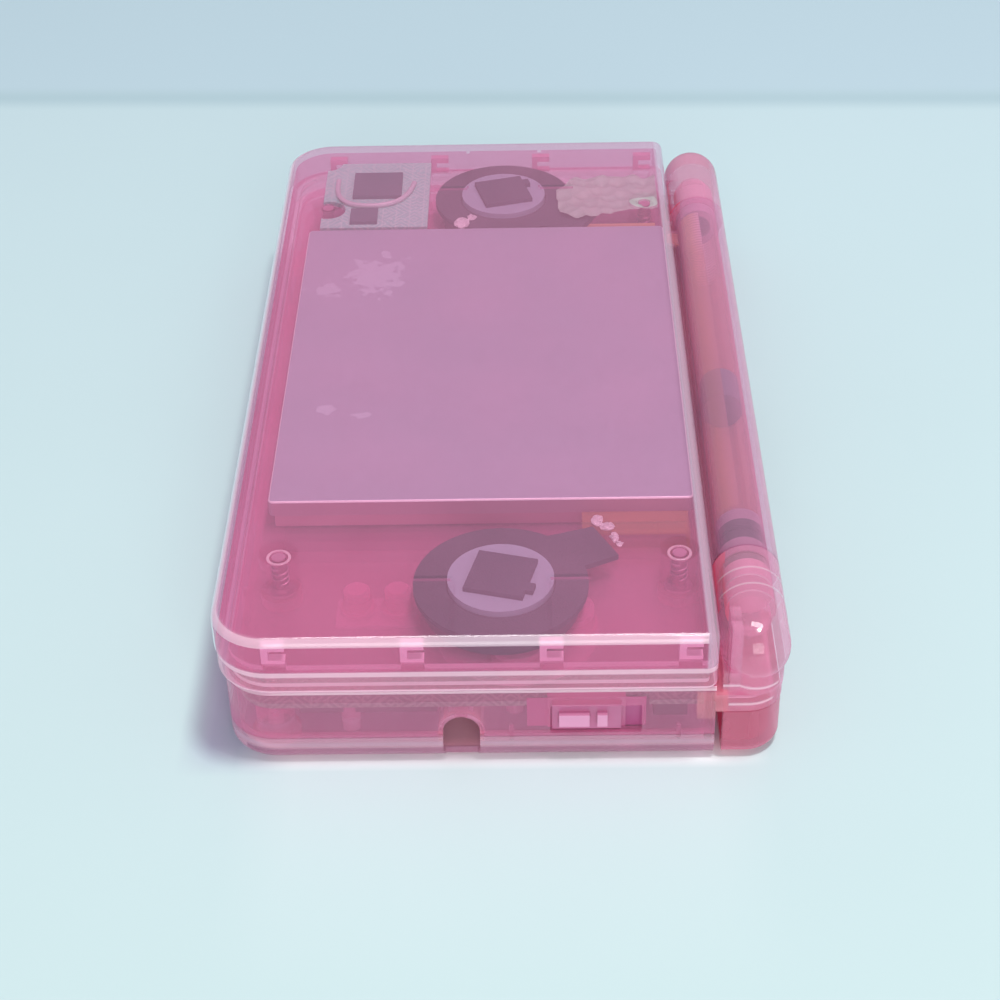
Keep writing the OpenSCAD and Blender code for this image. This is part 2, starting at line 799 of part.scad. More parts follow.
module control_deck() {
  color(shell_colour) difference() {
    union() {
      difference() {
        soft_top(base_len, base_front, base_back, base_corner, back_corner, deck_low, deck_z, rim_round);
        // inside, lower under the hinge trough
        difference() {
          base_inside(wall, deck_low - 1, deck_under);
          span([-far, pocket_y - wall, trough_z - deck_thick], [far, far, deck_z]);
        }
        // trough under the barrel
        span([-far, pocket_y, trough_z], [far, far, deck_z + 1]);
      }
      pocket_walls(deck_low, trough_z - deck_thick / 2);
      // roof over each corner pocket
      both_sides() intersection() {
        base_inside(wall / 2, pocket_z, pocket_z + wall);
        span([pocket_x - wall, pocket_y - wall, pocket_z], [far, far, pocket_z + wall]);
      }
      both_sides() ear();
      // posts that the case screws pull down
      for (spot = case_screw_spots) translate([spot[0], spot[1], seam_z])
        cylinder(r = post_r, h = deck_under - seam_z + tiny, $fn = smooth);
      // collar round each round button
      for (spot = round_buttons) translate([spot[0], spot[1], deck_under - collar_deep])
        cylinder(r = spot[2] + button_gap + collar_wid, h = collar_deep + tiny, $fn = smooth);
    }
    both_sides() {
      span([pocket_x, pocket_y, 0], [far, far, pocket_z]);
      // bore of each ear
      translate([ear_in - 1, hinge_y, hinge_z]) rotate([0, 90, 0]) {
        cylinder(r = barrel_bore, h = ear_bore_len + 1, $fn = smooth);
        cylinder(r = barrel_bore - ear_bore_step, h = ear_bore_len + 1 + ear_step_len, $fn = smooth);
      }
      // slot in each pocket wall for the button's arm
      span([arm_x - arm_half - arm_slack, pocket_y - 2 * wall, arm_z - arm_slack],
        [arm_x + arm_half + arm_slack, pocket_y + tiny, arm_z + arm_high + arm_slack]);
      // ends of the shoulder pins
      translate([pin_x, pin_y, pocket_z - 1])
        cylinder(r = pin_r + tiny, h = 1 + pin_end + part_clear, $fn = fine);
    }
    shell_openings();
    // lead-in band round the stylus hole
    translate([0, stylus_y, floor_z])
      arch(stylus_wid + 2 * channel_wall, stylus_high + channel_wall, end_x - band_deep, far);
    // window of the power slide
    span([end_in - 1, power_y - power_len / 2, power_z - power_high / 2],
      [far, power_y + power_len / 2, power_z + power_high / 2]);
    // window of the volume slide
    span([volume_x - volume_len / 2, -far, power_z - volume_high / 2],
      [volume_x + volume_len / 2, front_in + wall, power_z + volume_high / 2]);
    // pocket and opening of the lower display
    span([-view_len / 2 - view_lip, view_y - view_wid / 2 - view_lip, deck_under - 1],
      [view_len / 2 + view_lip, view_y + view_wid / 2 + view_lip, deck_z - glass_sink]);
    span([-view_len / 2, view_y - view_wid / 2, deck_under - 1],
      [view_len / 2, view_y + view_wid / 2, deck_z + 1]);
    // openings of the buttons
    translate([-control_x, control_y, 0])
      cross(cross_len + 2 * cross_gap, cross_wid + 2 * cross_gap, deck_under - 1, deck_z + 1);
    for (spot = round_buttons) translate([spot[0], spot[1], deck_under - 1])
      cylinder(r = spot[2] + button_gap, h = 2 * deck_thick + 1, $fn = smooth);
    // pilot holes of the case screws
    for (spot = case_screw_spots) translate([spot[0], spot[1], 0])
      cylinder(r = shank_r + pilot_gap, h = screw_top + arm_slack, $fn = fine);
    // holes of the light pipes
    for (spot = pipe_spots) span([spot - pipe_len / 2 - tiny, pipe_y - tiny, pocket_z + wall - tiny],
      [spot + pipe_len / 2 + tiny, pipe_y + pipe_wid + tiny, pipe_top + tiny]);
  }
}

// one ear: a round barrel end with a dome, on a pedestal
module ear() {
  ear_back = base_back - hinge_y;
  pedestal_front = pocket_y + 0.8;
  foot_back = ear_dome_x + ear_back - 0.6;
  translate([ear_in, hinge_y, hinge_z]) rotate([0, 90, 0])
    cylinder(r = barrel_r, h = ear_dome_x - ear_in, $fn = smooth);
  translate([ear_dome_x, hinge_y, hinge_z]) sphere(r = barrel_r, $fn = smooth);
  span([ear_in, pedestal_front, trough_z - tiny], [ear_dome_x, base_back, hinge_z]);
  translate([ear_dome_x, hinge_y, trough_z - tiny])
    cylinder(r = ear_back, h = hinge_z - trough_z, $fn = smooth);
  span([ear_dome_x - 1, pedestal_front, trough_z - tiny], [foot_back, hinge_y, hinge_z - 2]);
}

// plus shape of the directional pad
module cross(long, wide, low, high) {
  span([-long / 2, -wide / 2, low], [long / 2, wide / 2, high]);
  span([-wide / 2, -long / 2, low], [wide / 2, long / 2, high]);
}

module battery_cover() {
  color(shell_colour) difference() {
    union() {
      span([battery_left - bay_gap + cover_gap, battery_front - bay_gap + cover_gap, foot_lift],
        [battery_right + bay_gap - cover_gap, battery_back - cover_gap, floor_z]);
      translate([cover_tab_x, cover_tab_y, foot_lift]) cylinder(r = cover_tab_r, h = wall, $fn = smooth);
      span([cover_tab_x - cover_tab_r, cover_tab_y, foot_lift],
        [cover_tab_x + cover_tab_r, battery_front, floor_z]);
      // hooks that reach over the case floor
      for (spot = [battery_front + hook_gap, battery_back - hook_gap - hook_wid]) {
        span([battery_right - 1, spot, floor_z - tiny],
          [battery_right + bay_gap - cover_gap, spot + hook_wid, floor_z + hook_high]);
        span([battery_right, spot, floor_z + tiny],
          [battery_right + bay_gap + hook_reach, spot + hook_wid, floor_z + hook_high]);
      }
    }
    translate([cover_tab_x, cover_tab_y, 0])
      cylinder(r = shank_r + 2 * pilot_gap, h = floor_z + 1, $fn = fine);
    translate([cover_tab_x, cover_tab_y, 0])
      cylinder(r = head_r + pilot_gap, h = foot_lift + head_high, $fn = fine);
  }
}
hook_gap = 1.2;
hook_high = 0.5;

module battery_cover_screw() {
  color(steel_colour) translate([cover_tab_x, cover_tab_y, 0])
    screw(foot_lift, floor_z + tab_post_high - 1);
}

module battery() {
  contact_left = battery_left + 10;
  color(dark_colour) difference() {
    span([battery_left, battery_front, floor_z + bay_lift],
      [battery_right - bay_screw_gap, battery_back - bay_lift, floor_z + bay_lift + battery_thick]);
    // contact recess
    span([contact_left, battery_front - 1, floor_z + battery_thick / 2],
      [contact_left + contact_len, battery_front + wall, far]);
  }
}

module main_board() {
  back = pocket_y - wall - board_slack;
  color(board_colour) difference() {
    intersection() {
      base_inside(wall + board_edge, board_z, board_top);
      union() {
        span([-far, cart_back + sheet, board_z], [far, back, board_top]);
        span([-pocket_x + wall + board_slack, 0, board_z], [pocket_x - wall - board_slack, far, board_top]);
        span([cart_right + 2 * sheet, -far, board_z], [far, 0, board_top]);
        span([-far, -far, board_z], [cart_left - 2 * sheet, 0, board_top]);
      }
    }
    for (spot = case_screw_spots) translate([spot[0], spot[1], board_z - 1])
      cylinder(r = post_r + 2 * cover_gap, h = 2 + board_thick, $fn = smooth);
    // room for the power and volume slides
    span([end_in - unit_room, power_y - power_len / 2 - 1, 0], [far, power_y + power_len / 2 + 1, far]);
    span([volume_x - volume_len / 2 - 1, -far, 0],
      [volume_x + volume_len / 2 + 1, front_in + unit_room, far]);
  }
}

module wireless_board() {
  left = wireless_right - wireless_len;
  color(board_colour) union() {
    span([left, wireless_front, board_z - board_thick], [wireless_right, wireless_back, board_z]);
    span([left + chip_inset, wireless_front + chip_inset, board_z - board_thick - chip_high],
      [wireless_right - chip_end_inset, wireless_back - chip_inset, board_z - board_thick + tiny]);
  }
}

module shield_can() {
  color(steel_colour) difference() {
    span([can_left, can_front, unit_low], [can_right, can_back, board_z]);
    span([can_left + sheet, can_front + sheet, unit_low + sheet],
      [can_right - sheet, can_back - sheet, board_z + 1]);
    translate([end_x - can_post_in, can_post_y, 0])
      cylinder(r = board_post_r + 2 * cover_gap, h = far, $fn = fine);
  }
}

module card_slot() {
  spring_x = 9;
  spring_half = 3;
  spring_len = 12;
  color(steel_colour) difference() {
    span([-card_wid / 2 - sheet, card_front - sheet, card_low - sheet],
      [card_wid / 2 + sheet, card_back, board_z]);
    span([-card_wid / 2, card_front, card_low], [card_wid / 2, far, card_top]);
    // spring windows in the underside
    for (spot = [-spring_x, spring_x])
      span([spot - spring_half, card_front + spring_len, 0],
        [spot + spring_half, card_front + 2 * spring_len, card_low + part_clear]);
  }
}

module cartridge_slot_frame() {
  color(steel_colour) difference() {
    span([cart_left - sheet, cart_frame_front, floor_z], [cart_right + sheet, cart_back, cart_top + sheet]);
    span([cart_left, -far, 0], [cart_right, cart_back - sheet, cart_top]);
  }
}

module cartridge_connector() {
  end_gap = 4;
  lip = 2;
  color(dark_colour) difference() {
    span([cart_left + end_gap, cart_back - connector_deep, cart_low + 1],
      [cart_right - end_gap, cart_back - sheet, cart_top - 1]);
    span([cart_left + end_gap + lip, cart_back - connector_deep - 1, cart_low + lip],
      [cart_right - end_gap - lip, cart_back - lip, cart_top - 2 * lip]);
  }
}

module cartridge_slot_cover() {
  half = cart_wid / 2 - cover_slack;
  face_thick = 1.6;
  groove_r = 0.9;
  color(shell_colour) difference() {
    intersection() {
      base_form(0, foot_lift, cart_top + 1);
      span([cart_x - half, base_front - 1, cart_low + cover_slack],
        [cart_x + half, base_front + slot_cover_deep, cart_top - cover_slack]);
    }
    // hollow tray behind the face
    span([cart_x - half + wall, base_front + face_thick, cart_low + cover_slack + wall],
      [cart_x + half - wall, base_front + slot_cover_deep - wall, far]);
    // finger grooves in the two ends of the face
    for (side = [-1, 1]) translate([cart_x + side * half, base_front, cart_low])
      cylinder(r = groove_r, h = far, center = true, $fn = fine);
  }
}

module headphone_jack() {
  nose_len = jack_body_front - base_front - pilot_gap;
  color(dark_colour) difference() {
    union() {
      span([jack_x - jack_body_half, jack_body_front, jack_z - board_thick - 2],
        [jack_x + jack_body_half, jack_body_back, board_z]);
      translate([jack_x, jack_body_front + tiny, jack_z]) rotate([90, 0, 0])
        cylinder(r = jack_nose_r, h = nose_len, $fn = smooth);
    }
    translate([jack_x, base_front + jack_deep + pilot_gap, jack_z]) rotate([90, 0, 0])
      cylinder(r = jack_r, h = jack_deep + 1, $fn = smooth);
  }
}

module charge_socket() {
  deep = 6;
  blade_half = 0.4;
  half = charge_wid / 2;
  low = charge_z - charge_high / 2;
  color(steel_colour) difference() {
    span([charge_x - half - charge_shell, card_back - deep, low - charge_shell],
      [charge_x + half + charge_shell, card_back, board_z]);
    difference() {
      span([charge_x - half, card_back - deep + board_thick, low], [charge_x + half, far, low + charge_high]);
      // contact blade in the middle of the mouth
      span([charge_x - half + 1, card_back - deep, charge_z - blade_half],
        [charge_x + half - 1, card_back - 1, charge_z + blade_half]);
    }
  }
}

module power_switch_unit() {
  end_gap = 0.4;
  stem_half = 1.7;
  slot_deep = 2;
  color(steel_colour) difference() {
    span([power_unit_x - power_unit_deep, power_y - power_len / 2 + end_gap, unit_low],
      [power_unit_x, power_y + power_len / 2 - end_gap, board_z]);
    span([power_unit_x - slot_deep, power_stem - stem_half, stem_low - stem_slack],
      [power_unit_x + 1, power_stem + stem_half + power_travel, stem_high + stem_slack]);
  }
}

module power_knob() {
  low = power_z - power_high / 2 + knob_gap;
  high = power_z + power_high / 2 - knob_gap;
  sink = 0.5;
  lug_out = 0.4;
  first_lug = 0.9;
  first_len = 3.9;
  second_lug = 5.8;
  second_len = 1.3;
  stem_half = 1.5;
  stem_reach = 2.8;
  color(knob_colour) union() {
    span([end_in - 2 * flange_set, power_rest, low], [end_x - sink, power_rest + power_knob_len, high]);
    // flange behind the wall
    span([end_in - flange_set - flange_thick, power_rest - flange_over, low - 2 * knob_gap],
      [end_in - flange_set, power_rest + power_knob_len + flange_over, high + 2 * knob_gap]);
    // thumb lugs
    span([end_x - sink - part_clear, power_rest + first_lug, power_z - 1],
      [end_x + lug_out, power_rest + first_lug + first_len, power_z + 1]);
    span([end_x - sink - part_clear, power_rest + second_lug, power_z - 1],
      [end_x + lug_out, power_rest + second_lug + second_len, power_z + 1]);
    // stem into the switch
    span([end_in - stem_reach, power_stem - stem_half, stem_low],
      [end_in - flange_thick, power_stem + stem_half, stem_high]);
  }
}

module volume_switch_unit() {
  stem_half = 1.3;
  color(dark_colour) difference() {
    span([volume_x - volume_len / 2 - 1, volume_unit_y, unit_low],
      [volume_x + volume_len / 2, volume_unit_y + volume_unit_deep, board_z]);
    span([volume_stem - stem_half, volume_unit_y - 1, stem_low - stem_slack],
      [volume_stem + stem_half + volume_travel, volume_unit_y + 2, stem_high + stem_slack]);
  }
}

module volume_knob() {
  low = power_z - volume_high / 2 + knob_gap;
  high = power_z + volume_high / 2 - knob_gap;
  sink = 0.3;
  flange_y = front_in + flange_set;
  rib_out = 0.35;
  rib_half = 0.3;
  stem_half = 1.1;
  stem_reach = 2.8;
  color(knob_colour) union() {
    span([volume_rest, base_front + sink, low],
      [volume_rest + volume_knob_len, front_in + 2 * flange_set, high]);
    span([volume_rest - flange_over, flange_y, low - 2 * knob_gap],
      [volume_rest + volume_knob_len + flange_over, flange_y + flange_thick, high + 2 * knob_gap]);
    // grip ribs
    for (part = [1, 2, 3])
      span([volume_rest + part * volume_knob_len / 4 - rib_half, base_front - rib_out, low + sink],
        [volume_rest + part * volume_knob_len / 4 + rib_half, base_front + sink + tiny, high - sink]);
    span([volume_stem - stem_half, front_in + flange_thick, stem_low],
      [volume_stem + stem_half, front_in + stem_reach, stem_high]);
  }
}

module lower_display() {
  color(dark_colour)
    span([-low_len / 2, low_back - low_wid, board_top + part_clear], [low_len / 2, low_back, deck_under]);
}

// sheet that fills a display's stepped window
module window_sheet(low, high) {
  half_len = view_len / 2 + view_lip - glass_slack;
  half_wid = view_wid / 2 + view_lip - glass_slack;
  color(glass_colour) span([-half_len, view_y - half_wid, low], [half_len, view_y + half_wid, high]);
}

module touch_panel() {
  window_sheet(deck_under, deck_z - glass_sink);
}

module upper_window() {
  window_sheet(panel_z, panel_z + window_thick);
}

module pad_mat() {
  color(rubber_colour) translate([-control_x, control_y, board_top])
    cylinder(r = cross_len / 2 + mat_rim, h = mat_thick, $fn = smooth);
}

module face_mat() {
  color(rubber_colour) translate([control_x, control_y, board_top])
    cylinder(r = face_step + face_r + mat_rim, h = mat_thick, $fn = smooth);
}

module small_button_mat() {
  half = small_r + collar_wid + button_edge;
  color(rubber_colour)
    span([small_x - half, select_y - half, board_top], [small_x + half, start_y + half, mat_top]);
}

module pad_hub() {
  color(rubber_colour) translate([-control_x, control_y, hub_low])
    cylinder(r = hub_r, h = pad_flange_low - hub_low - hub_gap, $fn = smooth);
}

module directional_pad() {
  top = deck_z + button_proud;
  color(button_colour) translate([-control_x, control_y, 0]) difference() {
    union() {
      cross(cross_len, cross_wid, pad_flange_low, top);
      translate([0, 0, pad_flange_low])
        cylinder(r = cross_len / 2 + pad_flange, h = pad_flange_thick, $fn = smooth);
    }
    // shallow dish in the middle
    translate([0, 0, top + dish_r - dish_deep]) sphere(r = dish_r, $fn = 2 * smooth);
  }
}

// a round button with its flange under the deck
module round_button(place, radius) {
  shoulder_z = deck_z + button_proud - button_edge;
  color(button_colour) translate([place[0], place[1], 0]) union() {
    translate([0, 0, button_base]) cylinder(r = radius, h = shoulder_z - button_base, $fn = smooth);
    translate([0, 0, shoulder_z - tiny])
      cylinder(r1 = radius, r2 = radius - button_edge, h = button_edge, $fn = smooth);
    translate([0, 0, button_base])
      cylinder(r = radius + button_flange, h = button_flange_thick, $fn = smooth);
  }
}

module face_button_top() {
  round_button([control_x, control_y + face_step], face_r);
}

module face_button_right() {
  round_button([control_x + face_step, control_y], face_r);
}

module face_button_bottom() {
  round_button([control_x, control_y - face_step], face_r);
}

module face_button_left() {
  round_button([control_x - face_step, control_y], face_r);
}

module start_button() {
  round_button([small_x, start_y], small_r);
}

module select_button() {
  round_button([small_x, select_y], small_r);
}

// shoulder button for the right corner, a shell that follows the case
module shoulder_button() {
  web_half = 0.8;
  root_deep = 5;
  front = pocket_y + press_gap;
  inset = button_inset + button_wall;
  shell_in = base_back - button_wall;
  color(knob_colour) difference() {
    union() {
      difference() {
        intersection() {
          base_form(button_inset, foot_lift + button_inset, pocket_z + 1);
          union() {
            span([wing_x + edge_gap, front, button_low], [far, far, button_top]);
            span([pocket_x + edge_gap, front, floor_z + edge_gap], [wing_x + 1, far, button_top]);
          }
        }
        // hollow behind the shell
        base_form(inset, foot_lift + inset, button_top - button_wall);
        span([0, 0, 0], [wing_x + edge_gap, base_back - inset, far]);
      }
      // lug round the pin and its web to the shell
      translate([pin_x, pin_y, floor_z + edge_gap])
        cylinder(r = lug_r, h = lug_top - floor_z - edge_gap, $fn = smooth);
      span([pin_x - web_half, pin_y, floor_z + edge_gap], [pin_x + web_half, shell_in, lug_top]);
      // arm that presses the switch
      span([arm_x - arm_half, arm_tip, arm_z], [arm_x + arm_half, shell_in, arm_z + arm_high]);
      span([arm_x - arm_half, base_back - root_deep, arm_z], [arm_x + arm_half, shell_in, button_top - 1]);
    }
    translate([pin_x, pin_y, 0]) cylinder(r = pin_r + run_gap, h = far, $fn = smooth);
  }
}

module shoulder_button_right() {
  shoulder_button();
}

module shoulder_button_left() {
  mirror([1, 0, 0]) shoulder_button();
}

module shoulder_pins() {
  color(steel_colour) both_sides() translate([pin_x, pin_y, pin_low])
    cylinder(r = pin_r, h = pocket_z + pin_end - pin_low, $fn = smooth);
}

module shoulder_springs() {
  wire = 0.22;
  pitch = 1.8 * wire;
  turns = 5;
  color(steel_colour) both_sides() translate([pin_x, pin_y, lug_top + part_clear + wire])
    for (turn = [0 : turns - 1]) translate([0, 0, turn * pitch])
      rotate_extrude($fn = smooth) translate([pin_r + 2 * wire, 0]) circle(r = wire, $fn = fine / 2);
}

module shoulder_switches() {
  body_back = arm_tip - switch_gap;
  body_low = arm_z - pin_end;
  color(dark_colour) both_sides() union() {
    span([arm_x - switch_half, body_back - switch_deep, body_low], [arm_x + switch_half, body_back, board_z]);
    span([arm_x - arm_half, body_back - 1, arm_z + stem_slack],
      [arm_x + arm_half, arm_tip - pin_end, arm_z + arm_high - stem_slack]);
  }
}

module case_screws() {
  color(steel_colour) for (spot = case_screw_spots)
    translate([spot[0], spot[1], 0]) screw(foot_top, screw_top);
}

module rubber_feet() {
  color(dark_colour) for (spot = case_screw_spots)
    translate([spot[0], spot[1], 0]) cylinder(r = foot_r, h = foot_top, $fn = smooth);
}

module light_pipes() {
  color("white") for (spot = pipe_spots)
    span([spot - pipe_len / 2, pipe_y, pocket_z + wall], [spot + pipe_len / 2, pipe_y + pipe_wid, pipe_top]);
}

// key that turns with the lower half inside the lid's clutch
module hinge_key() {
  color(steel_colour) translate([0, hinge_y, hinge_z]) rotate([0, 90, 0]) union() {
    translate([0, 0, ear_in]) cylinder(r = fit_r, h = key_drum_len, $fn = smooth);
    translate([0, 0, ear_in - key_step - key_len])
      cylinder(r = key_r, h = key_len + key_step + part_clear, $fn = smooth);
  }
}

module hinge_clutch() {
  cam_len = 4.2;
  groove_len = 1.2;
  groove_deep = 0.5;
  end_gap = 0.2;
  color(dark_colour) translate([0, hinge_y, hinge_z]) rotate([0, 90, 0]) difference() {
    union() {
      translate([0, 0, barrel_half - clutch_len])
        cylinder(r = fit_r, h = clutch_len - cam_len - groove_len - end_gap + tiny, $fn = smooth);
      translate([0, 0, barrel_half - end_gap - cam_len - groove_len])
        cylinder(r = fit_r - groove_deep, h = groove_len + tiny, $fn = smooth);
      translate([0, 0, barrel_half - end_gap - cam_len]) cylinder(r = fit_r, h = cam_len, $fn = smooth);
    }
    translate([0, 0, barrel_half - key_len - 4 * end_gap])
      cylinder(r = key_r + run_gap, h = far, $fn = smooth);
  }
}

// bush on the other side, hollow so that the flex can pass
module hinge_bush() {
  color("whitesmoke") translate([0, hinge_y, hinge_z]) rotate([0, -90, 0]) difference() {
    translate([0, 0, barrel_half - bush_grip])
      cylinder(r = fit_r, h = bush_grip + ear_bore_len - 1, $fn = smooth);
    cylinder(r = bush_bore, h = far, $fn = smooth);
  }
}

module lid_outer_cover() {
  color(shell_colour) difference() {
    union() {
      difference() {
        soft_top(case_len, lid_front, lid_back, front_corner, lid_back_corner,
          split_z + frame_line, case_high, top_round);
        plan_block(case_len - 2 * wall, lid_front + wall, lid_back - lid_wall, front_corner - wall,
          lid_back_corner - lid_wall, split_z - 1, cover_under);
      }
      // screw posts
      for (spot = lid_screw_spots) translate([spot[0], spot[1], panel_top])
        cylinder(r = post_r, h = cover_under - panel_top + tiny, $fn = smooth);
      // ribs round each speaker
      both_sides() for (side = [-1, 1]) {
        span([speaker_x + 2 * speaker_rib_gap, side * speaker_rib_y - rib_wid / 2, cover_under - rib_high],
          [case_len / 2 - wall, side * speaker_rib_y + rib_wid / 2, cover_under + tiny]);
        span([speaker_x + speaker_rib_gap, side * speaker_rib_end - speaker_rib_half, cover_under - rib_high],
          [speaker_x + 2 * speaker_rib_gap, side * speaker_rib_end + speaker_rib_half, cover_under + tiny]);
      }
    }
    for (spot = lid_screw_spots) translate([spot[0], spot[1], panel_top - 1])
      cylinder(r = shank_r + pilot_gap, h = lid_screw_top + 2 * cover_gap - panel_top + 1, $fn = fine);
  }
}

// inside of the lid frame between two levels
module frame_inside(low, high) {
  inset = frame_inset + rim_wall;
  plan_block(case_len - 2 * inset, lid_front + inset, lid_back - lid_wall, front_corner - inset,
    lid_back_corner - lid_wall, low, high);
}

module lid_inner_frame() {
  color(shell_colour) difference() {
    union() {
      difference() {
        soft_block(case_len - 2 * frame_inset, lid_front + frame_inset, lid_back, front_corner - frame_inset,
          lid_back_corner, lid_low, split_z, rim_round);
        frame_inside(lid_low - 1, panel_z);
        frame_inside(panel_top, split_z + 1);
      }
      // barrel and the web that carries it
      translate([-barrel_half, hinge_y, hinge_z]) rotate([0, 90, 0])
        cylinder(r = barrel_r, h = 2 * barrel_half, $fn = smooth);
      span([-barrel_half, lid_back - lid_wall / 2, lid_low + 1],
        [barrel_half, hinge_y - barrel_r + rim_wall, split_z]);
      // snap hooks inside both end walls
      both_sides() for (part = [0 : 3])
        translate([case_len / 2 - wall - snap_inset, snap_front + part * (snap_back - snap_front) / 3, 0])
          difference() {
            span([-snap_thick, -snap_half, panel_z + tiny], [0, snap_half, snap_top]);
            span([-snap_thick - 1, snap_stem - snap_half, snap_slot_low],
              [1, far, snap_slot_low + snap_slot]);
          }
      // posts under the antenna board
      for (spot = antenna_posts) translate([spot[0], spot[1], panel_top - tiny])
        cylinder(r = antenna_post_r, h = antenna_z - panel_top + tiny, $fn = fine);
    }
    translate([-barrel_half - 1, hinge_y, hinge_z]) rotate([0, 90, 0])
      cylinder(r = barrel_bore, h = 2 * barrel_half + 2, $fn = smooth);
    // window of the upper display, stepped for its lens
    span([-view_len / 2, view_y - view_wid / 2, panel_z - 1],
      [view_len / 2, view_y + view_wid / 2, panel_top + 1]);
    span([-view_len / 2 - view_lip, view_y - view_wid / 2 - view_lip, panel_z - 1],
      [view_len / 2 + view_lip, view_y + view_wid / 2 + view_lip, panel_z + window_thick]);
    // speaker grilles
    both_sides() for (col = grille_cols, row = grille_rows)
      translate([speaker_x + col * grille_step, row * grille_step, panel_z - 1])
        cylinder(r = grille_r, h = panel_thick + 2, $fn = fine);
    // lid screws
    for (spot = lid_screw_spots) translate([spot[0], spot[1], panel_z - 1])
      cylinder(r = shank_r + 2 * pilot_gap, h = panel_thick + 2, $fn = fine);
    // slot that lets the flex into the barrel
    span([flex_left - glass_slack, lid_back - 2, panel_top + tiny],
      [flex_right + glass_slack, flex_end_y + part_clear, panel_top + flex_slot_high]);
    // sound hole of the microphone
    translate([mic_x, hinge_y, hinge_z - barrel_r])
      cylinder(r = mic_hole_r, h = barrel_r, center = true, $fn = fine);
  }
}

module upper_display() {
  inset = pan_sheet + part_clear;
  color(dark_colour) span([pan_left + inset, pan_front + inset, panel_top],
    [pan_right - inset, pan_back - inset, panel_top + up_thick]);
}

module display_back_plate() {
  half = (pan_right - pan_left) / 2;
  color("thistle") translate([pan_middle, 0, 0]) difference() {
    soft_top(2 * half, pan_front, pan_back, pan_corner, pan_corner, pan_top - pan_deep, pan_top, pan_edge);
    span([-half + pan_sheet, pan_front + pan_sheet, 0],
      [half - pan_sheet, pan_back - pan_sheet, pan_top - pan_sheet]);
  }
}

// speaker, face down on the panel, with its magnet on top
module speaker() {
  bevel_z = basket_high - basket_bevel;
  color(steel_colour) translate([speaker_x, 0, panel_top]) union() {
    cylinder(r = basket_r, h = bevel_z, $fn = smooth);
    translate([0, 0, bevel_z - tiny])
      cylinder(r1 = basket_r, r2 = basket_r - basket_bevel, h = basket_bevel + tiny, $fn = smooth);
    translate([0, 0, basket_high - tiny]) cylinder(r = magnet_r, h = magnet_high + tiny, $fn = smooth);
  }
}

module speaker_right() {
  speaker();
}

module speaker_left() {
  mirror([1, 0, 0]) speaker();
}

module speaker_gaskets() {
  color(foam_colour) both_sides() translate([speaker_x, 0, panel_top + basket_high])
    linear_extrude(gasket_thick) difference() {
      union() {
        circle(r = gasket_r, $fn = smooth);
        // tab under the terminals, towards the hinge
        polygon(gasket_tab);
      }
      circle(r = magnet_r + 2 * part_clear, $fn = smooth);
    }
}
gasket_tab = [[-9.6, 6], [-11.6, 12.4], [-5.4, 15.6], [-3, 10.6]];

module speaker_pads() {
  half = pad_side / 2;
  nub_from = half - 3;
  nub_wid = 1.6;
  nub_len = 1;
  color(foam_colour) both_sides() translate([speaker_x, 0, panel_top + basket_high + magnet_high])
    rotate([0, 0, -pad_turn]) union() {
      span([-half, -half, 0], [half, half, pad_thick]);
      span([nub_from, half - part_clear, 0], [nub_from + nub_wid, half + nub_len, pad_thick]);
    }
}

module antenna_board() {
  color(board_colour) difference() {
    span([antenna_left, antenna_front, antenna_z], [antenna_right, antenna_back, antenna_z + board_thick]);
    // room for the lid's corner and screw post
    translate([-lid_screw_x, lid_screw_front, antenna_z - 1])
      cylinder(r = post_r + 2 * cover_gap, h = board_thick + 2, $fn = smooth);
    translate([antenna_left, antenna_front, antenna_z - 1])
      cylinder(r = antenna_notch, h = board_thick + 2, $fn = smooth);
  }
}

module antenna_parts() {
  low = antenna_z + board_thick;
  color(dark_colour) union() {
    span([module_left, module_back - module_wid, low],
      [module_left + module_len, module_back, low + module_high]);
    span([plug_right - plug_len, plug_back - plug_len, low], [plug_right, plug_back, low + plug_high]);
  }
}

// crinkled tape over the speaker's lead
module flex_tape() {
  left = -4.7;
  right = 6.6;
  inner = 1;
  skew = 0.5;
  front = gasket_r - 3;
  back = lid_back - 1.8;
  waist = lid_back - 6.8;
  color("lightgray") translate([-speaker_x, 0, tape_z]) linear_extrude(tape_thick)
    polygon([
      [left, front], [right, front + skew], [right, waist], [inner, waist + skew], [inner, back],
      [left, back + skew / 2]
    ]);
}

// flat cable that steps down and runs through the wall into the barrel
module lid_flex() {
  color(flex_colour) union() {
    translate([flex_left, 0, 0]) rotate([90, 0, 90]) linear_extrude(flex_wid)
      polygon([
        [flex_front, flex_top], [flex_step_y, flex_top], [flex_step_y, flex_low], [flex_end_y, flex_low],
        [flex_end_y, flex_low - flex_thick], [flex_step_y - flex_thick, flex_low - flex_thick],
        [flex_step_y - flex_thick, flex_top - flex_thick], [flex_front, flex_top - flex_thick]
      ]);
    // tail on the display's side
    span([flex_right - tiny, flex_front, flex_top - flex_thick],
      [pan_left, flex_front + flex_tail, flex_top]);
    // roll inside the barrel
    translate([flex_left, hinge_y, hinge_z]) rotate([0, 90, 0])
      linear_extrude(flex_roll_end - flex_left) difference() {
        circle(r = fit_r, $fn = smooth);
        circle(r = fit_r - flex_thick, $fn = smooth);
        translate([-far, 0]) square([far, far]);
      }
  }
}

module speaker_lead() {
  step = lead_step_y - flex_thick;
  color(flex_colour) translate([lead_left, 0, 0]) rotate([90, 0, 90]) linear_extrude(lead_wid)
    polygon([
      [lead_front, lead_top], [lead_step_y, lead_top], [lead_step_y, panel_top],
      [step, panel_top], [step, lead_top - flex_thick], [lead_front, lead_top - flex_thick]
    ]);
}

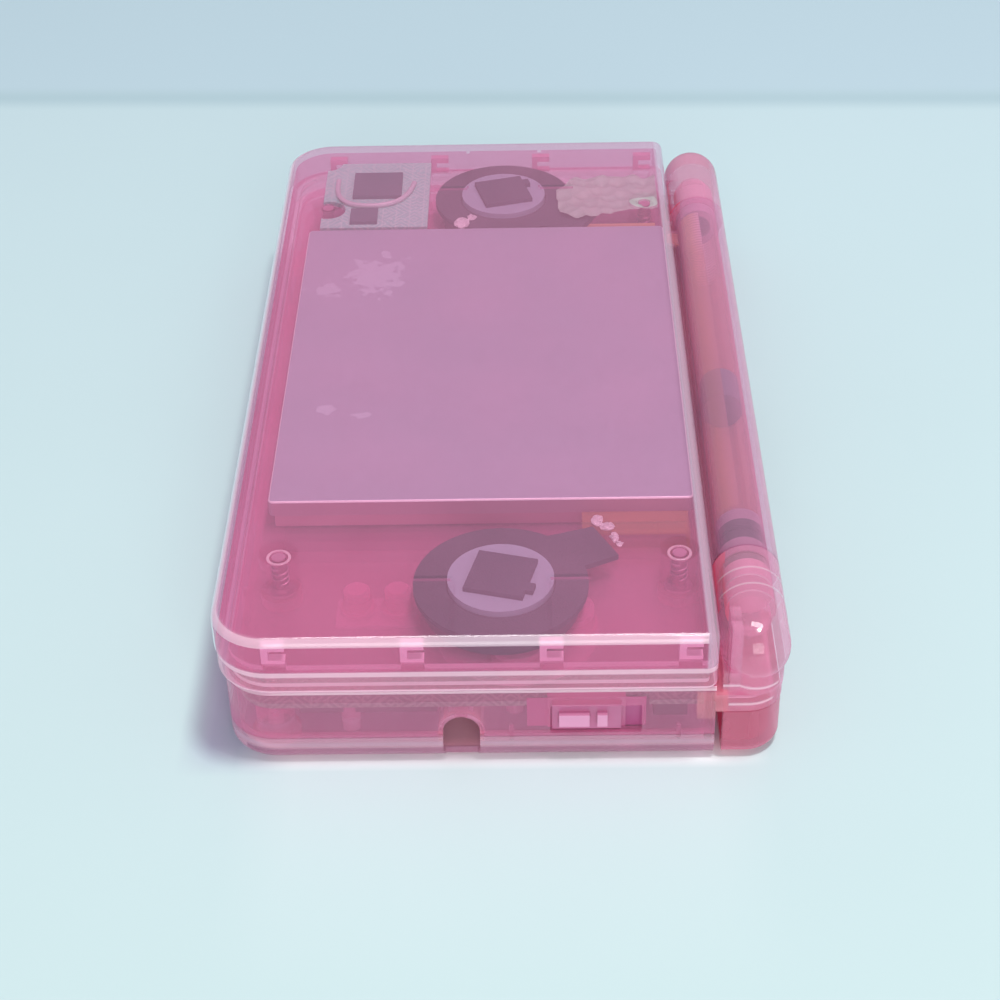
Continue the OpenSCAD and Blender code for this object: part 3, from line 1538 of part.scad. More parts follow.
module microphone() {
  color(dark_colour) translate([mic_x - mic_len / 2, hinge_y, hinge_z]) rotate([0, 90, 0])
    cylinder(r = fit_r - flex_thick - pilot_gap, h = mic_len, $fn = smooth);
}

module lid_screws() {
  color(steel_colour) for (spot = lid_screw_spots)
    translate([spot[0], spot[1], 0]) screw(panel_z - head_high, lid_screw_top);
}

module screw_caps() {
  low = deck_z + cover_gap;
  color(rubber_colour) for (spot = lid_screw_spots) translate([spot[0], spot[1], 0]) difference() {
    translate([0, 0, low]) cylinder(r = head_r + cap_rim, h = panel_z - low, $fn = smooth);
    translate([0, 0, panel_z - head_high - pilot_gap]) cylinder(r = head_r + pilot_gap, h = 2, $fn = smooth);
  }
}

bottom_case();
control_deck();
battery_cover();
battery_cover_screw();
battery();
main_board();
wireless_board();
shield_can();
card_slot();
cartridge_slot_frame();
cartridge_connector();
cartridge_slot_cover();
headphone_jack();
charge_socket();
power_switch_unit();
power_knob();
volume_switch_unit();
volume_knob();
lower_display();
touch_panel();
pad_mat();
face_mat();
small_button_mat();
pad_hub();
directional_pad();
face_button_top();
face_button_right();
face_button_bottom();
face_button_left();
start_button();
select_button();
shoulder_button_left();
shoulder_button_right();
shoulder_pins();
shoulder_springs();
shoulder_switches();
case_screws();
rubber_feet();
light_pipes();
hinge_key();
hinge_bush();
hinge_clutch();
lid_outer_cover();
lid_inner_frame();
upper_window();
upper_display();
display_back_plate();
speaker_left();
speaker_right();
speaker_gaskets();
speaker_pads();
antenna_board();
antenna_parts();
flex_tape();
lid_flex();
speaker_lead();
microphone();
lid_screws();
screw_caps();
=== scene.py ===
import math

import bpy
import mathutils
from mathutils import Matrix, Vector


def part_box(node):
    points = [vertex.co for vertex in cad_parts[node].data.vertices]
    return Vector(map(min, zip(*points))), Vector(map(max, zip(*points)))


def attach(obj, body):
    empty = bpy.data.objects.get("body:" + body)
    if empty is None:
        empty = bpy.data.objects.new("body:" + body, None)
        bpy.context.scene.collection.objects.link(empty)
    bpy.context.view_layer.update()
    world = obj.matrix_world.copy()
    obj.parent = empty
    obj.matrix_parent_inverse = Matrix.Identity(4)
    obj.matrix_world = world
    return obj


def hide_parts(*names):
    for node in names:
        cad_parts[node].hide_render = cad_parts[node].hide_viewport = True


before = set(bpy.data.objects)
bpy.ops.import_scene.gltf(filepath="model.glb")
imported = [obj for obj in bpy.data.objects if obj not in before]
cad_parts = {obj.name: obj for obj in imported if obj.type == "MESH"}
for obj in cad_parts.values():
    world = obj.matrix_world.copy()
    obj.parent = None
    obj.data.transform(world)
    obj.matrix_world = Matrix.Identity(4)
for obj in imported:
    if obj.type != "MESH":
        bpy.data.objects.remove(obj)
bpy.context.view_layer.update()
MM = 0.001

# ---------------------------------------------------------------- camera
# The viewer stands off the right end of the closed console and looks along it, at 37 degrees
# down and a touch rolled. Angles are in degrees, and the place in millimetres from the origin
# under the middle of the case.
CAMERA_PLACE = (264.55, 4.32, 192.50)
CAMERA_YAW, CAMERA_PITCH, CAMERA_ROLL = 1.118, 36.987, -1.401
CAMERA_LENS = 75.75

yaw, pitch, roll = (math.radians(angle) for angle in (CAMERA_YAW, CAMERA_PITCH, CAMERA_ROLL))
ahead = mathutils.Vector((-math.cos(pitch) * math.cos(yaw), -math.cos(pitch) * math.sin(yaw), -math.sin(pitch)))
level = ahead.cross(mathutils.Vector((0, 0, 1))).normalized()
upright = level.cross(ahead)
right = math.cos(roll) * level + math.sin(roll) * upright
up = -math.sin(roll) * level + math.cos(roll) * upright
lens = bpy.data.cameras.new("camera")
lens.lens = CAMERA_LENS
lens.sensor_width = 36
lens.clip_start = 0.005
camera = bpy.data.objects.new("camera", lens)
bpy.context.scene.collection.objects.link(camera)
turn = mathutils.Matrix((right, up, -ahead)).transposed().to_4x4()
camera.matrix_world = mathutils.Matrix.Translation([value * MM for value in CAMERA_PLACE]) @ turn
bpy.context.scene.camera = camera
bpy.context.scene.view_settings.view_transform = "Standard"
bpy.context.scene.cycles.transparent_max_bounces = 40

# ---------------------------------------------------------------- table and backdrop
# A satin painted board, pale blue-white and a little cloudy, whose far edge runs slightly askew
# to the console. Beyond that edge lies a bluer backdrop, drawn on the same sheet.
NEAR_TABLE, FAR_TABLE = "#BCCFD0", "#BCCED4"
BACKDROP, EDGE_SHADE_TONE = "#B3C6D0", "#A4BAC3"
TABLE_SPAN = 4.0
TABLE_END = -0.127
TABLE_SKEW = 0.0348
EDGE_SOFT = 0.006
CLOUD_SIZE = 0.12
# colours of the painted shadow beside the case and of the painted glow before its near end
SHADE_TONE, GLOW_TONE = "#A7AEBF", "#F3F1F2"


def linear(code, alpha=1.0):
    """A colour written as sRGB hex, as the linear values that sockets take."""
    parts = [int(code[start : start + 2], 16) / 255 for start in (1, 3, 5)]
    return tuple(p / 12.92 if p <= 0.04045 else ((p + 0.055) / 1.055) ** 2.4 for p in parts) + (alpha,)


def add(tree, kind, links=None, **settings):
    """One node with its settings. links gives an input a value or another node's output."""
    node = tree.nodes.new(kind)
    for name, value in settings.items():
        setattr(node, name, value)
    for socket, value in (links or {}).items():
        if isinstance(value, bpy.types.NodeSocket):
            tree.links.new(value, node.inputs[socket])
        else:
            node.inputs[socket].default_value = value
    return node


def material(name):
    """A new material with nothing but its output, and the Object coordinates."""
    made = bpy.data.materials.new(name)
    made.use_nodes = True
    made.node_tree.nodes.clear()
    tree = made.node_tree
    return made, tree, tree.nodes.new("ShaderNodeOutputMaterial"), add(tree, "ShaderNodeTexCoord").outputs["Object"]


bpy.ops.object.select_all(action="DESELECT")
bpy.ops.mesh.primitive_plane_add(size=TABLE_SPAN, location=(0, 0, 0))
table = bpy.context.object
table.name = "table_top"
# satin paint: no gloss to speak of, and clouds a hand wide that shift its tone by a percent or two
paint, tree, out, place = material("satin_painted_board")
apart = add(tree, "ShaderNodeSeparateXYZ", {0: place}).outputs
depth = add(tree, "ShaderNodeMapRange", {0: apart["X"], 1: TABLE_END, 2: 0.12, 3: 0.0, 4: 1.0})
tone = add(tree, "ShaderNodeMix", {0: depth.outputs[0], 6: linear(FAR_TABLE), 7: linear(NEAR_TABLE)}, data_type="RGBA")
cloud = add(tree, "ShaderNodeTexNoise", {"Vector": place, "Scale": 1 / CLOUD_SIZE, "Detail": 3.0})
shift = add(tree, "ShaderNodeMapRange", {0: cloud.outputs[0], 1: 0.3, 2: 0.7, 3: 0.985, 4: 1.015})
cloudy = add(tree, "ShaderNodeVectorMath", {0: tone.outputs[2], 3: shift.outputs[0]}, operation="SCALE")
# painted light on the board: a mauve painted shadow beside the pink case, and a painted glow before
# its near end, both standing in for the light that comes through the case
beside = add(tree, "ShaderNodeMapRange", {0: apart["Y"], 1: -43.0 * MM, 2: -38.5 * MM, 3: 0.0, 4: 1.0})
covered = add(tree, "ShaderNodeMapRange", {0: apart["Y"], 1: -32 * MM, 2: -28 * MM, 3: 1.0, 4: 0.0})
length = add(tree, "ShaderNodeMath", {0: apart["X"]}, operation="ABSOLUTE")
abreast = add(tree, "ShaderNodeMapRange", {0: length.outputs[0], 1: 62 * MM, 2: 68 * MM, 3: 1.0, 4: 0.0})
strip = add(tree, "ShaderNodeMath", {0: beside.outputs[0], 1: covered.outputs[0]}, operation="MULTIPLY")
painted_shadow_strip = add(tree, "ShaderNodeMath", {0: strip.outputs[0], 1: abreast.outputs[0]}, operation="MULTIPLY")
shaded = add(tree, "ShaderNodeMix", {0: painted_shadow_strip.outputs[0], 6: cloudy.outputs[0], 7: linear(SHADE_TONE)}, data_type="RGBA")
aside = add(tree, "ShaderNodeMath", {0: apart["Y"]}, operation="ABSOLUTE")
level_with = add(tree, "ShaderNodeMapRange", {0: aside.outputs[0], 1: 27 * MM, 2: 35 * MM, 3: 1.0, 4: 0.0})
beyond = add(tree, "ShaderNodeMapRange", {0: apart["X"], 1: 61 * MM, 2: 63 * MM, 3: 0.0, 4: 1.0})
close = add(tree, "ShaderNodeMapRange", {0: apart["X"], 1: 65.4 * MM, 2: 67.3 * MM, 3: 0.62, 4: 0.0})
wide = add(tree, "ShaderNodeMapRange", {0: apart["X"], 1: 70 * MM, 2: 105 * MM, 3: 0.09, 4: 0.0})
bright = add(tree, "ShaderNodeMath", {0: close.outputs[0], 1: wide.outputs[0]}, operation="ADD")
ahead_of = add(tree, "ShaderNodeMath", {0: bright.outputs[0], 1: beyond.outputs[0]}, operation="MULTIPLY")
glow = add(tree, "ShaderNodeMath", {0: ahead_of.outputs[0], 1: level_with.outputs[0]}, operation="MULTIPLY")
lit = add(tree, "ShaderNodeMix", {0: glow.outputs[0], 6: shaded.outputs[2], 7: linear(GLOW_TONE)}, data_type="RGBA")
along = add(tree, "ShaderNodeMath", {0: apart["Y"], 1: -TABLE_SKEW, 2: apart["X"]}, operation="MULTIPLY_ADD")
past = add(tree, "ShaderNodeMapRange", {0: along.outputs[0], 1: TABLE_END - EDGE_SOFT, 2: TABLE_END + EDGE_SOFT / 3,
                                        3: 1.0, 4: 0.0}, interpolation_type="SMOOTHSTEP")
drop = add(tree, "ShaderNodeMix", {0: past.outputs[0], 6: lit.outputs[2], 7: linear(BACKDROP)}, data_type="RGBA")
# painted shade: a darker line along the board's far edge, where it meets the backdrop
away = add(tree, "ShaderNodeMath", {0: along.outputs[0], 1: TABLE_END}, operation="SUBTRACT")
near = add(tree, "ShaderNodeMath", {0: away.outputs[0]}, operation="ABSOLUTE")
line = add(tree, "ShaderNodeMapRange", {0: near.outputs[0], 1: 0.0, 2: EDGE_SOFT, 3: 0.75, 4: 0.0},
           interpolation_type="SMOOTHSTEP")
edged = add(tree, "ShaderNodeMix", {0: line.outputs[0], 6: drop.outputs[2], 7: linear(EDGE_SHADE_TONE)}, data_type="RGBA")
satin = add(tree, "ShaderNodeBsdfPrincipled", {"Base Color": edged.outputs[2], "Roughness": 0.75,
                                               "Specular IOR Level": 0.2})
# from below the board is left clear, so that the underside of the console can be looked at
under = add(tree, "ShaderNodeNewGeometry").outputs["Backfacing"]
clear = add(tree, "ShaderNodeBsdfTransparent")
shown = add(tree, "ShaderNodeMixShader", {0: under, 1: satin.outputs[0], 2: clear.outputs[0]})
tree.links.new(shown.outputs[0], out.inputs[0])
table.data.materials.append(paint)
# the lamp below shines through the board, which is only there to stand on
table.visible_shadow = False

# ---------------------------------------------------------------- light
# Soft daylight: an even pale sky, a window high on the hinge side, a glow in front of the near end,
# and a pale wall behind that is only met in reflections, where it draws the bright lines on edges.
# A weak lamp under the table lights the underside, for views from below.
SKY, SKY_LEVEL = "#E9F3F8", 0.52
WINDOW_PLACE, WINDOW_SIZE, WINDOW_POWER = (0.12, 0.19, 1.02), (0.15, 0.15), 7.2
GLOW_PLACE, GLOW_SIZE, GLOW_POWER = (0.95, 0.10, 0.42), (0.60, 0.60), 5.5
PANEL_PLACE, PANEL_SIZE, PANEL_POWER = (-0.20, 0.10, 1.00), (0.60, 0.30), 7.2
UNDER_PLACE, UNDER_SIZE, UNDER_POWER = (0.15, -0.25, -0.90), (0.70, 0.70), 3.2

world = bpy.data.worlds.new("soft_daylight")
bpy.context.scene.world = world
world.use_nodes = True
sky = world.node_tree.nodes["Background"]
sky.inputs["Color"].default_value = linear(SKY)
sky.inputs["Strength"].default_value = SKY_LEVEL


def soft_lamp(name, place, size, power):
    """A rectangular lamp that hangs at a place and faces the console."""
    lamp = bpy.data.lights.new(name, "AREA")
    lamp.shape = "RECTANGLE"
    lamp.size, lamp.size_y = size
    lamp.energy = power
    holder = bpy.data.objects.new(name, lamp)
    bpy.context.scene.collection.objects.link(holder)
    holder.location = place
    holder.rotation_euler = mathutils.Vector(place).to_track_quat("Z", "Y").to_euler()
    return holder


soft_lamp("high_window", WINDOW_PLACE, WINDOW_SIZE, WINDOW_POWER)
soft_lamp("front_glow", GLOW_PLACE, GLOW_SIZE, GLOW_POWER)
pale_wall = soft_lamp("pale_wall", PANEL_PLACE, PANEL_SIZE, PANEL_POWER)
pale_wall.visible_diffuse = False
soft_lamp("under_glow", UNDER_PLACE, UNDER_SIZE, UNDER_POWER)

# ---------------------------------------------------------------- clear shell
# The six outer mouldings are clear pink polycarbonate, injection moulded and polished. Light goes
# through and takes up the tint at each face, a faint haze stays in the wall, and it grows deeper
# where a wall is met at a glance. Rounded and cut edges carry a painted highlight: they are painted paler.
SHELL_TINT, SHELL_HAZE, SHELL_DEEP, SHELL_EDGE_HIGHLIGHT = "#FBEAF3", "#FDA6CC", "#F08FBA", "#F8DCEA"
SHELL_SHARE = 0.13
SHELL_ROUGH = 0.07
POLISH = 0.7
EDGE_HIGHLIGHT_SHARE = 0.42
HAZE_SIZE = 0.016
SCUFF_SIZE = 0.0009


def clear_plastic(name, tint, haze, deep, share, rough):
    """Tinted clear plastic: tint is what one face takes from the light, haze the colour that stays."""
    made, tree, out, place = material(name)
    cloud = add(tree, "ShaderNodeTexNoise", {"Vector": place, "Scale": 1 / HAZE_SIZE, "Detail": 2.0})
    milk = add(tree, "ShaderNodeMapRange", {0: cloud.outputs[0], 1: 0.3, 2: 0.7, 3: share * 0.88, 4: share * 1.12})
    glance = add(tree, "ShaderNodeLayerWeight", {0: 0.25}).outputs["Facing"]
    longer = add(tree, "ShaderNodeMath", {0: glance, 1: 3.0, 2: 0.9}, operation="MULTIPLY_ADD")
    stays = add(tree, "ShaderNodeMath", {0: milk.outputs[0], 1: longer.outputs[0]}, operation="MULTIPLY", use_clamp=True)
    colour = add(tree, "ShaderNodeMix", {0: glance, 6: linear(haze), 7: linear(deep)}, data_type="RGBA")
    through = add(tree, "ShaderNodeBsdfTransparent", {0: linear(tint)})
    hazy = add(tree, "ShaderNodeBsdfDiffuse", {0: colour.outputs[2]})
    wall = add(tree, "ShaderNodeMixShader", {0: stays.outputs[0], 1: through.outputs[0], 2: hazy.outputs[0]})
    # handling marks: patches under a millimetre that dull the polish
    marks = add(tree, "ShaderNodeTexNoise", {"Vector": place, "Scale": 1 / SCUFF_SIZE, "Detail": 2.0})
    dull = add(tree, "ShaderNodeMapRange", {0: marks.outputs[0], 1: 0.45, 2: 0.75, 3: rough, 4: rough + 0.12})
    gloss = add(tree, "ShaderNodeBsdfGlossy", {0: (1, 1, 1, 1), 1: dull.outputs[0]})
    # only a face met from the air side mirrors the room, because the light inside isn't bent here
    mirror = add(tree, "ShaderNodeFresnel", {0: 1.585})
    inside = add(tree, "ShaderNodeNewGeometry").outputs["Backfacing"]
    outside = add(tree, "ShaderNodeMapRange", {0: inside, 1: 0.0, 2: 1.0, 3: POLISH, 4: 0.0})
    shine = add(tree, "ShaderNodeMath", {0: mirror.outputs[0], 1: outside.outputs[0]}, operation="MULTIPLY")
    whole = add(tree, "ShaderNodeMixShader", {0: shine.outputs[0], 1: wall.outputs[0], 2: gloss.outputs[0]})
    tree.links.new(whole.outputs[0], out.inputs[0])
    return made, tree, wall, hazy, place


def product(tree, *masks):
    """1 only where every mask is 1."""
    whole = masks[0]
    for mask in masks[1:]:
        whole = add(tree, "ShaderNodeMath", {0: whole, 1: mask}, operation="MULTIPLY").outputs[0]
    return whole


def between(tree, value, low, high, soft=0.00004):
    """1 where a value lies between two others, with a soft edge."""
    off = add(tree, "ShaderNodeMath", {0: value, 1: (low + high) / 2}, operation="SUBTRACT")
    far = add(tree, "ShaderNodeMath", {0: off.outputs[0]}, operation="ABSOLUTE")
    half = (high - low) / 2
    return add(tree, "ShaderNodeMapRange", {0: far.outputs[0], 1: half - soft, 2: half + soft, 3: 1.0, 4: 0.0}).outputs[0]


def cloud_over(tree, wall, hazy, mask, share, tone):
    """Where the mask is 1, the wall keeps this share of the light, in this tone."""
    kept, colour = wall.inputs[0].links[0].from_socket, hazy.inputs[0].links[0].from_socket
    more = add(tree, "ShaderNodeMix", {0: mask, 2: kept, 3: share})
    toned = add(tree, "ShaderNodeMix", {0: mask, 6: colour, 7: linear(tone)}, data_type="RGBA")
    tree.links.new(more.outputs[0], wall.inputs[0])
    tree.links.new(toned.outputs[2], hazy.inputs[0])


def shell(name, haze=SHELL_HAZE, share=SHELL_SHARE):
    """The shell plastic, with a painted highlight: paler where it is rounded over an edge. Returns what a section adds
    to.
    """
    made, tree, wall, hazy, place = clear_plastic(name, SHELL_TINT, haze, SHELL_DEEP, share, SHELL_ROUGH)
    facing = add(tree, "ShaderNodeSeparateXYZ", {0: tree.nodes["Texture Coordinate"].outputs["Normal"]}).outputs["Z"]
    size = add(tree, "ShaderNodeMath", {0: facing}, operation="ABSOLUTE").outputs[0]
    spot = add(tree, "ShaderNodeSeparateXYZ", {0: place}).outputs
    upright = add(tree, "ShaderNodeMapRange", {0: size, 1: 0.5, 2: 0.3, 3: 0.0, 4: 1.0}).outputs[0]
    off_hinge = add(tree, "ShaderNodeMapRange", {0: spot["Y"], 1: 27.9 * MM, 2: 28.3 * MM, 3: 1.0, 4: 0.0}).outputs[0]
    off_end = add(tree, "ShaderNodeMapRange", {0: spot["X"], 1: -65.5 * MM, 2: -63.5 * MM, 3: 0.0, 4: 1.0}).outputs[0]
    # painted highlight: faces rounded over an edge are painted paler, except beyond the hinge side and at the far end
    bent_highlight = product(tree, between(tree, size, 0.22, 0.96, 0.04), off_hinge, off_end)
    cloud_over(tree, wall, hazy, bent_highlight, EDGE_HIGHLIGHT_SHARE, SHELL_EDGE_HIGHLIGHT)
    return made, tree, wall, hazy, spot, upright


def dress(finish, *names):
    """Gives CAD nodes a finish in place of their plain one."""
    for name in names:
        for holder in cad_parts[name].material_slots:
            holder.material = finish


covers, tree, wall, hazy, spot, upright = shell("clear_pink_polycarbonate")
dress(covers, "battery_cover", "cartridge_slot_cover")

# ---------------------------------------------------------------- bottom case and control deck
# The case's walls are painted paler in a band round their foot, a painted glow. The deck's two ears
# are solid at their ends, show the steps of the hinge bore as thin rings of painted highlight, and
# look deep red on the cheek that faces the lid.
CASE_HAZE, CASE_SHARE = "#E9A8BE", 0.085
FLOOR_GLOW_BAND = (3.0, 6.0)
FLOOR_GLOW_SHARE, FLOOR_GLOW_TONE = 0.34, "#F9C6DA"
CHANNEL, CHANNEL_TOP, CHANNEL_LIGHT_TONE = (-8.4, -2.4), 7.4, "#FFC9C4"
SOLE_SHADE_TONE = "#A9718F"
BORE_STEPS = ((51.4, 51.8), (54.7, 55.1))
CHEEK_TONE = "#F0506E"
EAR_TONE, EAR_RIM, FAR_EAR_TONE = "#FABAD6", "#E78FB6", "#D68BA8"
TROUGH_LIGHT_TONE = "#F2A0B0"
EAR_HIGHLIGHT_LINES = ((9.2, 9.6), (11.9, 12.3))

case, tree, wall, hazy, spot, upright = shell("clear_pink_polycarbonate_case", CASE_HAZE, CASE_SHARE)
# painted glow: the upright walls are painted paler in a band just above the floor
foot_glow = add(tree, "ShaderNodeMapRange", {0: spot["Z"], 1: FLOOR_GLOW_BAND[1] * MM, 2: FLOOR_GLOW_BAND[0] * MM, 3: 0.0, 4: 1.0})
cloud_over(tree, wall, hazy, product(tree, foot_glow.outputs[0], upright), FLOOR_GLOW_SHARE, FLOOR_GLOW_TONE)
# painted light inside the stylus channel: its walls are painted paler and pinker where shade would fall
inside = product(tree, between(tree, spot["Y"], CHANNEL[0] * MM, CHANNEL[1] * MM),
                 between(tree, spot["Z"], 0.4 * MM, CHANNEL_TOP * MM), between(tree, spot["X"], 30 * MM, 64.9 * MM))
cloud_over(tree, wall, hazy, inside, 0.24, CHANNEL_LIGHT_TONE)
# painted highlight: a thin pale line round the upright walls, about 3 mm above the table
cloud_over(tree, wall, hazy, product(tree, between(tree, spot["Z"], 2.9 * MM, 3.4 * MM, 0.0003), upright), 0.42, "#E9C6DA")
# painted shade: the foot of the near end's wall, below the pale line, is painted dark mauve
sole_shade = add(tree, "ShaderNodeMapRange", {0: spot["Z"], 1: 2.2 * MM, 2: 2.7 * MM, 3: 1.0, 4: 0.0}).outputs[0]
end_wall = add(tree, "ShaderNodeMapRange", {0: spot["X"], 1: 64.0 * MM, 2: 64.3 * MM, 3: 0.0, 4: 1.0}).outputs[0]
cloud_over(tree, wall, hazy, product(tree, sole_shade, end_wall), 0.36, SOLE_SHADE_TONE)
dress(case, "bottom_case")


def edge_on(tree):
    """1 where a face is met at a glance."""
    glance = add(tree, "ShaderNodeLayerWeight", {0: 0.25}).outputs["Facing"]
    return add(tree, "ShaderNodeMapRange", {0: glance, 1: 0.25, 2: 0.6, 3: 0.0, 4: 1.0}).outputs[0]


deck, tree, wall, hazy, spot, upright = shell("clear_pink_polycarbonate_deck")
hinge_side = add(tree, "ShaderNodeMapRange", {0: spot["Y"], 1: 28.0 * MM, 2: 28.3 * MM, 3: 0.0, 4: 1.0}).outputs[0]
raised = add(tree, "ShaderNodeMapRange", {0: spot["Z"], 1: 11.5 * MM, 2: 14.0 * MM, 3: 0.0, 4: 1.0}).outputs[0]
cloud_over(tree, wall, hazy, hinge_side, 0.19, EAR_TONE)
cloud_over(tree, wall, hazy, product(tree, hinge_side, edge_on(tree)), 0.55, EAR_RIM)
along = add(tree, "ShaderNodeMath", {0: spot["X"]}, operation="ABSOLUTE").outputs[0]
# painted highlights: the steps of the hinge bore are painted as thin pale rings
for start, end in BORE_STEPS:
    ring = product(tree, between(tree, spot["X"], start * MM, end * MM, 0.0001), hinge_side, raised)
    cloud_over(tree, wall, hazy, ring, 0.32, SHELL_EDGE_HIGHLIGHT)
cheek = product(tree, between(tree, spot["Y"], 28.0 * MM, 29.6 * MM), between(tree, along, 42 * MM, 57 * MM), upright,
                raised)
cloud_over(tree, wall, hazy, cheek, 0.70, CHEEK_TONE)
far_ear = add(tree, "ShaderNodeMapRange", {0: spot["X"], 1: -58 * MM, 2: -59 * MM, 3: 0.0, 4: 1.0}).outputs[0]
cloud_over(tree, wall, hazy, product(tree, far_ear, hinge_side), 0.60, FAR_EAR_TONE)
outer = add(tree, "ShaderNodeMapRange", {0: along, 1: 64.0 * MM, 2: 64.4 * MM, 3: 0.0, 4: 1.0}).outputs[0]
# painted highlights: two pale lines across the outer ends of both ears
for start, end in EAR_HIGHLIGHT_LINES:
    line = product(tree, between(tree, spot["Z"], start * MM, end * MM, 0.00015), hinge_side, outer)
    cloud_over(tree, wall, hazy, line, 0.55, SHELL_EDGE_HIGHLIGHT)
# painted light: the deck is painted paler and pinker in the trough under the lid's hinge side, where shade would fall
trough_light = product(tree, between(tree, spot["Y"], 25.0 * MM, 29.0 * MM), between(tree, spot["Z"], 7.0 * MM, 11.5 * MM))
cloud_over(tree, wall, hazy, trough_light, 0.34, TROUGH_LIGHT_TONE)
dress(deck, "control_deck")

# ---------------------------------------------------------------- lid cover and lid frame
# The cover is a shallow tray over the panel. Its walls are seen end on at the front and on the
# hinge side, where they are painted paler, a painted highlight. The frame closes it from below, is
# painted with a paler band all round, a painted highlight, and holds it by hooks, whose small faces
# carry painted glints.
COVER_HAZE, COVER_SHARE = "#D398BA", 0.10
SIDE_HIGHLIGHT_SHARE, SIDE_HIGHLIGHT_TONE = 0.85, "#E6F4FC"
RIM_HIGHLIGHT_LIPS, RIM_HIGHLIGHT_SHARE, RIM_HIGHLIGHT_TONE = ((12.5, 13.2), (15.4, 16.2)), (0.16, 0.60), "#F9D3E4"
HOOK_GLINT_SHARE, HOOK_GLINT_TONE = 0.80, "#FFD0E6"
BARREL_TONE = "#DCA6C8"

cover, tree, wall, hazy, spot, upright = shell("clear_pink_polycarbonate_cover", COVER_HAZE, COVER_SHARE)
# painted highlight: the front wall is painted pale blue-white where it is met at a glance
front = between(tree, spot["Y"], -37.2 * MM, -36.3 * MM, 0.0001)
cloud_over(tree, wall, hazy, product(tree, front, edge_on(tree)), SIDE_HIGHLIGHT_SHARE, SIDE_HIGHLIGHT_TONE)
# painted light: the hinge-side wall, seen end on, is painted as a pale strip
hinge_wall_light = between(tree, spot["Y"], 26.0 * MM, 27.8 * MM, 0.0001)
cloud_over(tree, wall, hazy, hinge_wall_light, 0.30, "#DCCFE0")
dress(cover, "lid_outer_cover")

rim, tree, wall, hazy, spot, upright = shell("clear_pink_polycarbonate_frame")
off_end = add(tree, "ShaderNodeMapRange", {0: spot["X"], 1: -64.0 * MM, 2: -61.0 * MM, 3: 0.25, 4: 1.0}).outputs[0]
# painted highlight: a paler band round the frame's upright walls, with two brighter lips in it
rim_band_highlight = product(tree, between(tree, spot["Z"], 12.3 * MM, 16.3 * MM), upright, off_end)
cloud_over(tree, wall, hazy, rim_band_highlight, RIM_HIGHLIGHT_SHARE[0], RIM_HIGHLIGHT_TONE)
for start, end in RIM_HIGHLIGHT_LIPS:
    lip_highlight = product(tree, between(tree, spot["Z"], start * MM, end * MM, 0.0001), upright, off_end)
    cloud_over(tree, wall, hazy, lip_highlight, RIM_HIGHLIGHT_SHARE[1], RIM_HIGHLIGHT_TONE)
# painted glints on the faces of the hooks at both ends
hook_glint_height = between(tree, spot["Z"], 16.8 * MM, 20.2 * MM)
along = add(tree, "ShaderNodeMath", {0: spot["X"]}, operation="ABSOLUTE").outputs[0]
ends = add(tree, "ShaderNodeMapRange", {0: along, 1: 62.0 * MM, 2: 62.2 * MM, 3: 0.0, 4: 1.0}).outputs[0]
cloud_over(tree, wall, hazy, product(tree, hook_glint_height, ends, off_end), HOOK_GLINT_SHARE, HOOK_GLINT_TONE)
barrel = add(tree, "ShaderNodeMapRange", {0: spot["Y"], 1: 28.2 * MM, 2: 28.6 * MM, 3: 0.0, 4: 1.0}).outputs[0]
cloud_over(tree, wall, hazy, barrel, 0.19, BARREL_TONE)
cloud_over(tree, wall, hazy, product(tree, barrel, edge_on(tree)), 0.50, EAR_RIM)
dress(rim, "lid_inner_frame")

# ---------------------------------------------------------------- buttons and knobs
# The directional pad, the round buttons, both shoulder buttons and both slide knobs: the same
# polycarbonate with more pigment and a finer polish, so they look like pink milk glass.
KEY_TINT, KEY_HAZE, KEY_DEEP = "#F9D0E2", "#FFBADB", "#F5A6CB"
KEY_SHARE = 0.36

keys = clear_plastic("milky_pink_polycarbonate", KEY_TINT, KEY_HAZE, KEY_DEEP, KEY_SHARE, 0.10)[0]
dress(keys, "volume_knob", "directional_pad", "face_button_top", "face_button_right",
      "face_button_bottom", "face_button_left", "start_button", "select_button")
thumb, tree, wall, hazy, place = clear_plastic("milky_pink_polycarbonate_knob", KEY_TINT, "#CB7CA2", "#B9648C", 0.60, 0.10)
spot = add(tree, "ShaderNodeSeparateXYZ", {0: place}).outputs
lug_height = between(tree, spot["Z"], 6.1 * MM, 8.4 * MM, 0.0002)
lug_out = add(tree, "ShaderNodeMapRange", {0: spot["X"], 1: 65.3 * MM, 2: 65.5 * MM, 3: 0.0, 4: 1.0}).outputs[0]
cloud_over(tree, wall, hazy, product(tree, lug_height, lug_out), 0.80, "#E9A2C6")
dress(thumb, "power_knob")
triggers = clear_plastic("deep_pink_polycarbonate", "#F3BFCF", "#EC93B2", "#DC7E9F", 0.22, 0.08)[0]
dress(triggers, "shoulder_button_left", "shoulder_button_right")

# ---------------------------------------------------------------- light pipes
# Two flat bars of clear acrylic that carry the charge and power lamps from the board up to the
# ear. They are pressed into slots in the deck, and only their edges catch the light.
pipes = clear_plastic("clear_acrylic", "#FFFFFF", "#F6E3EC", "#FFFFFF", 0.08, 0.05)[0]
dress(pipes, "light_pipes")

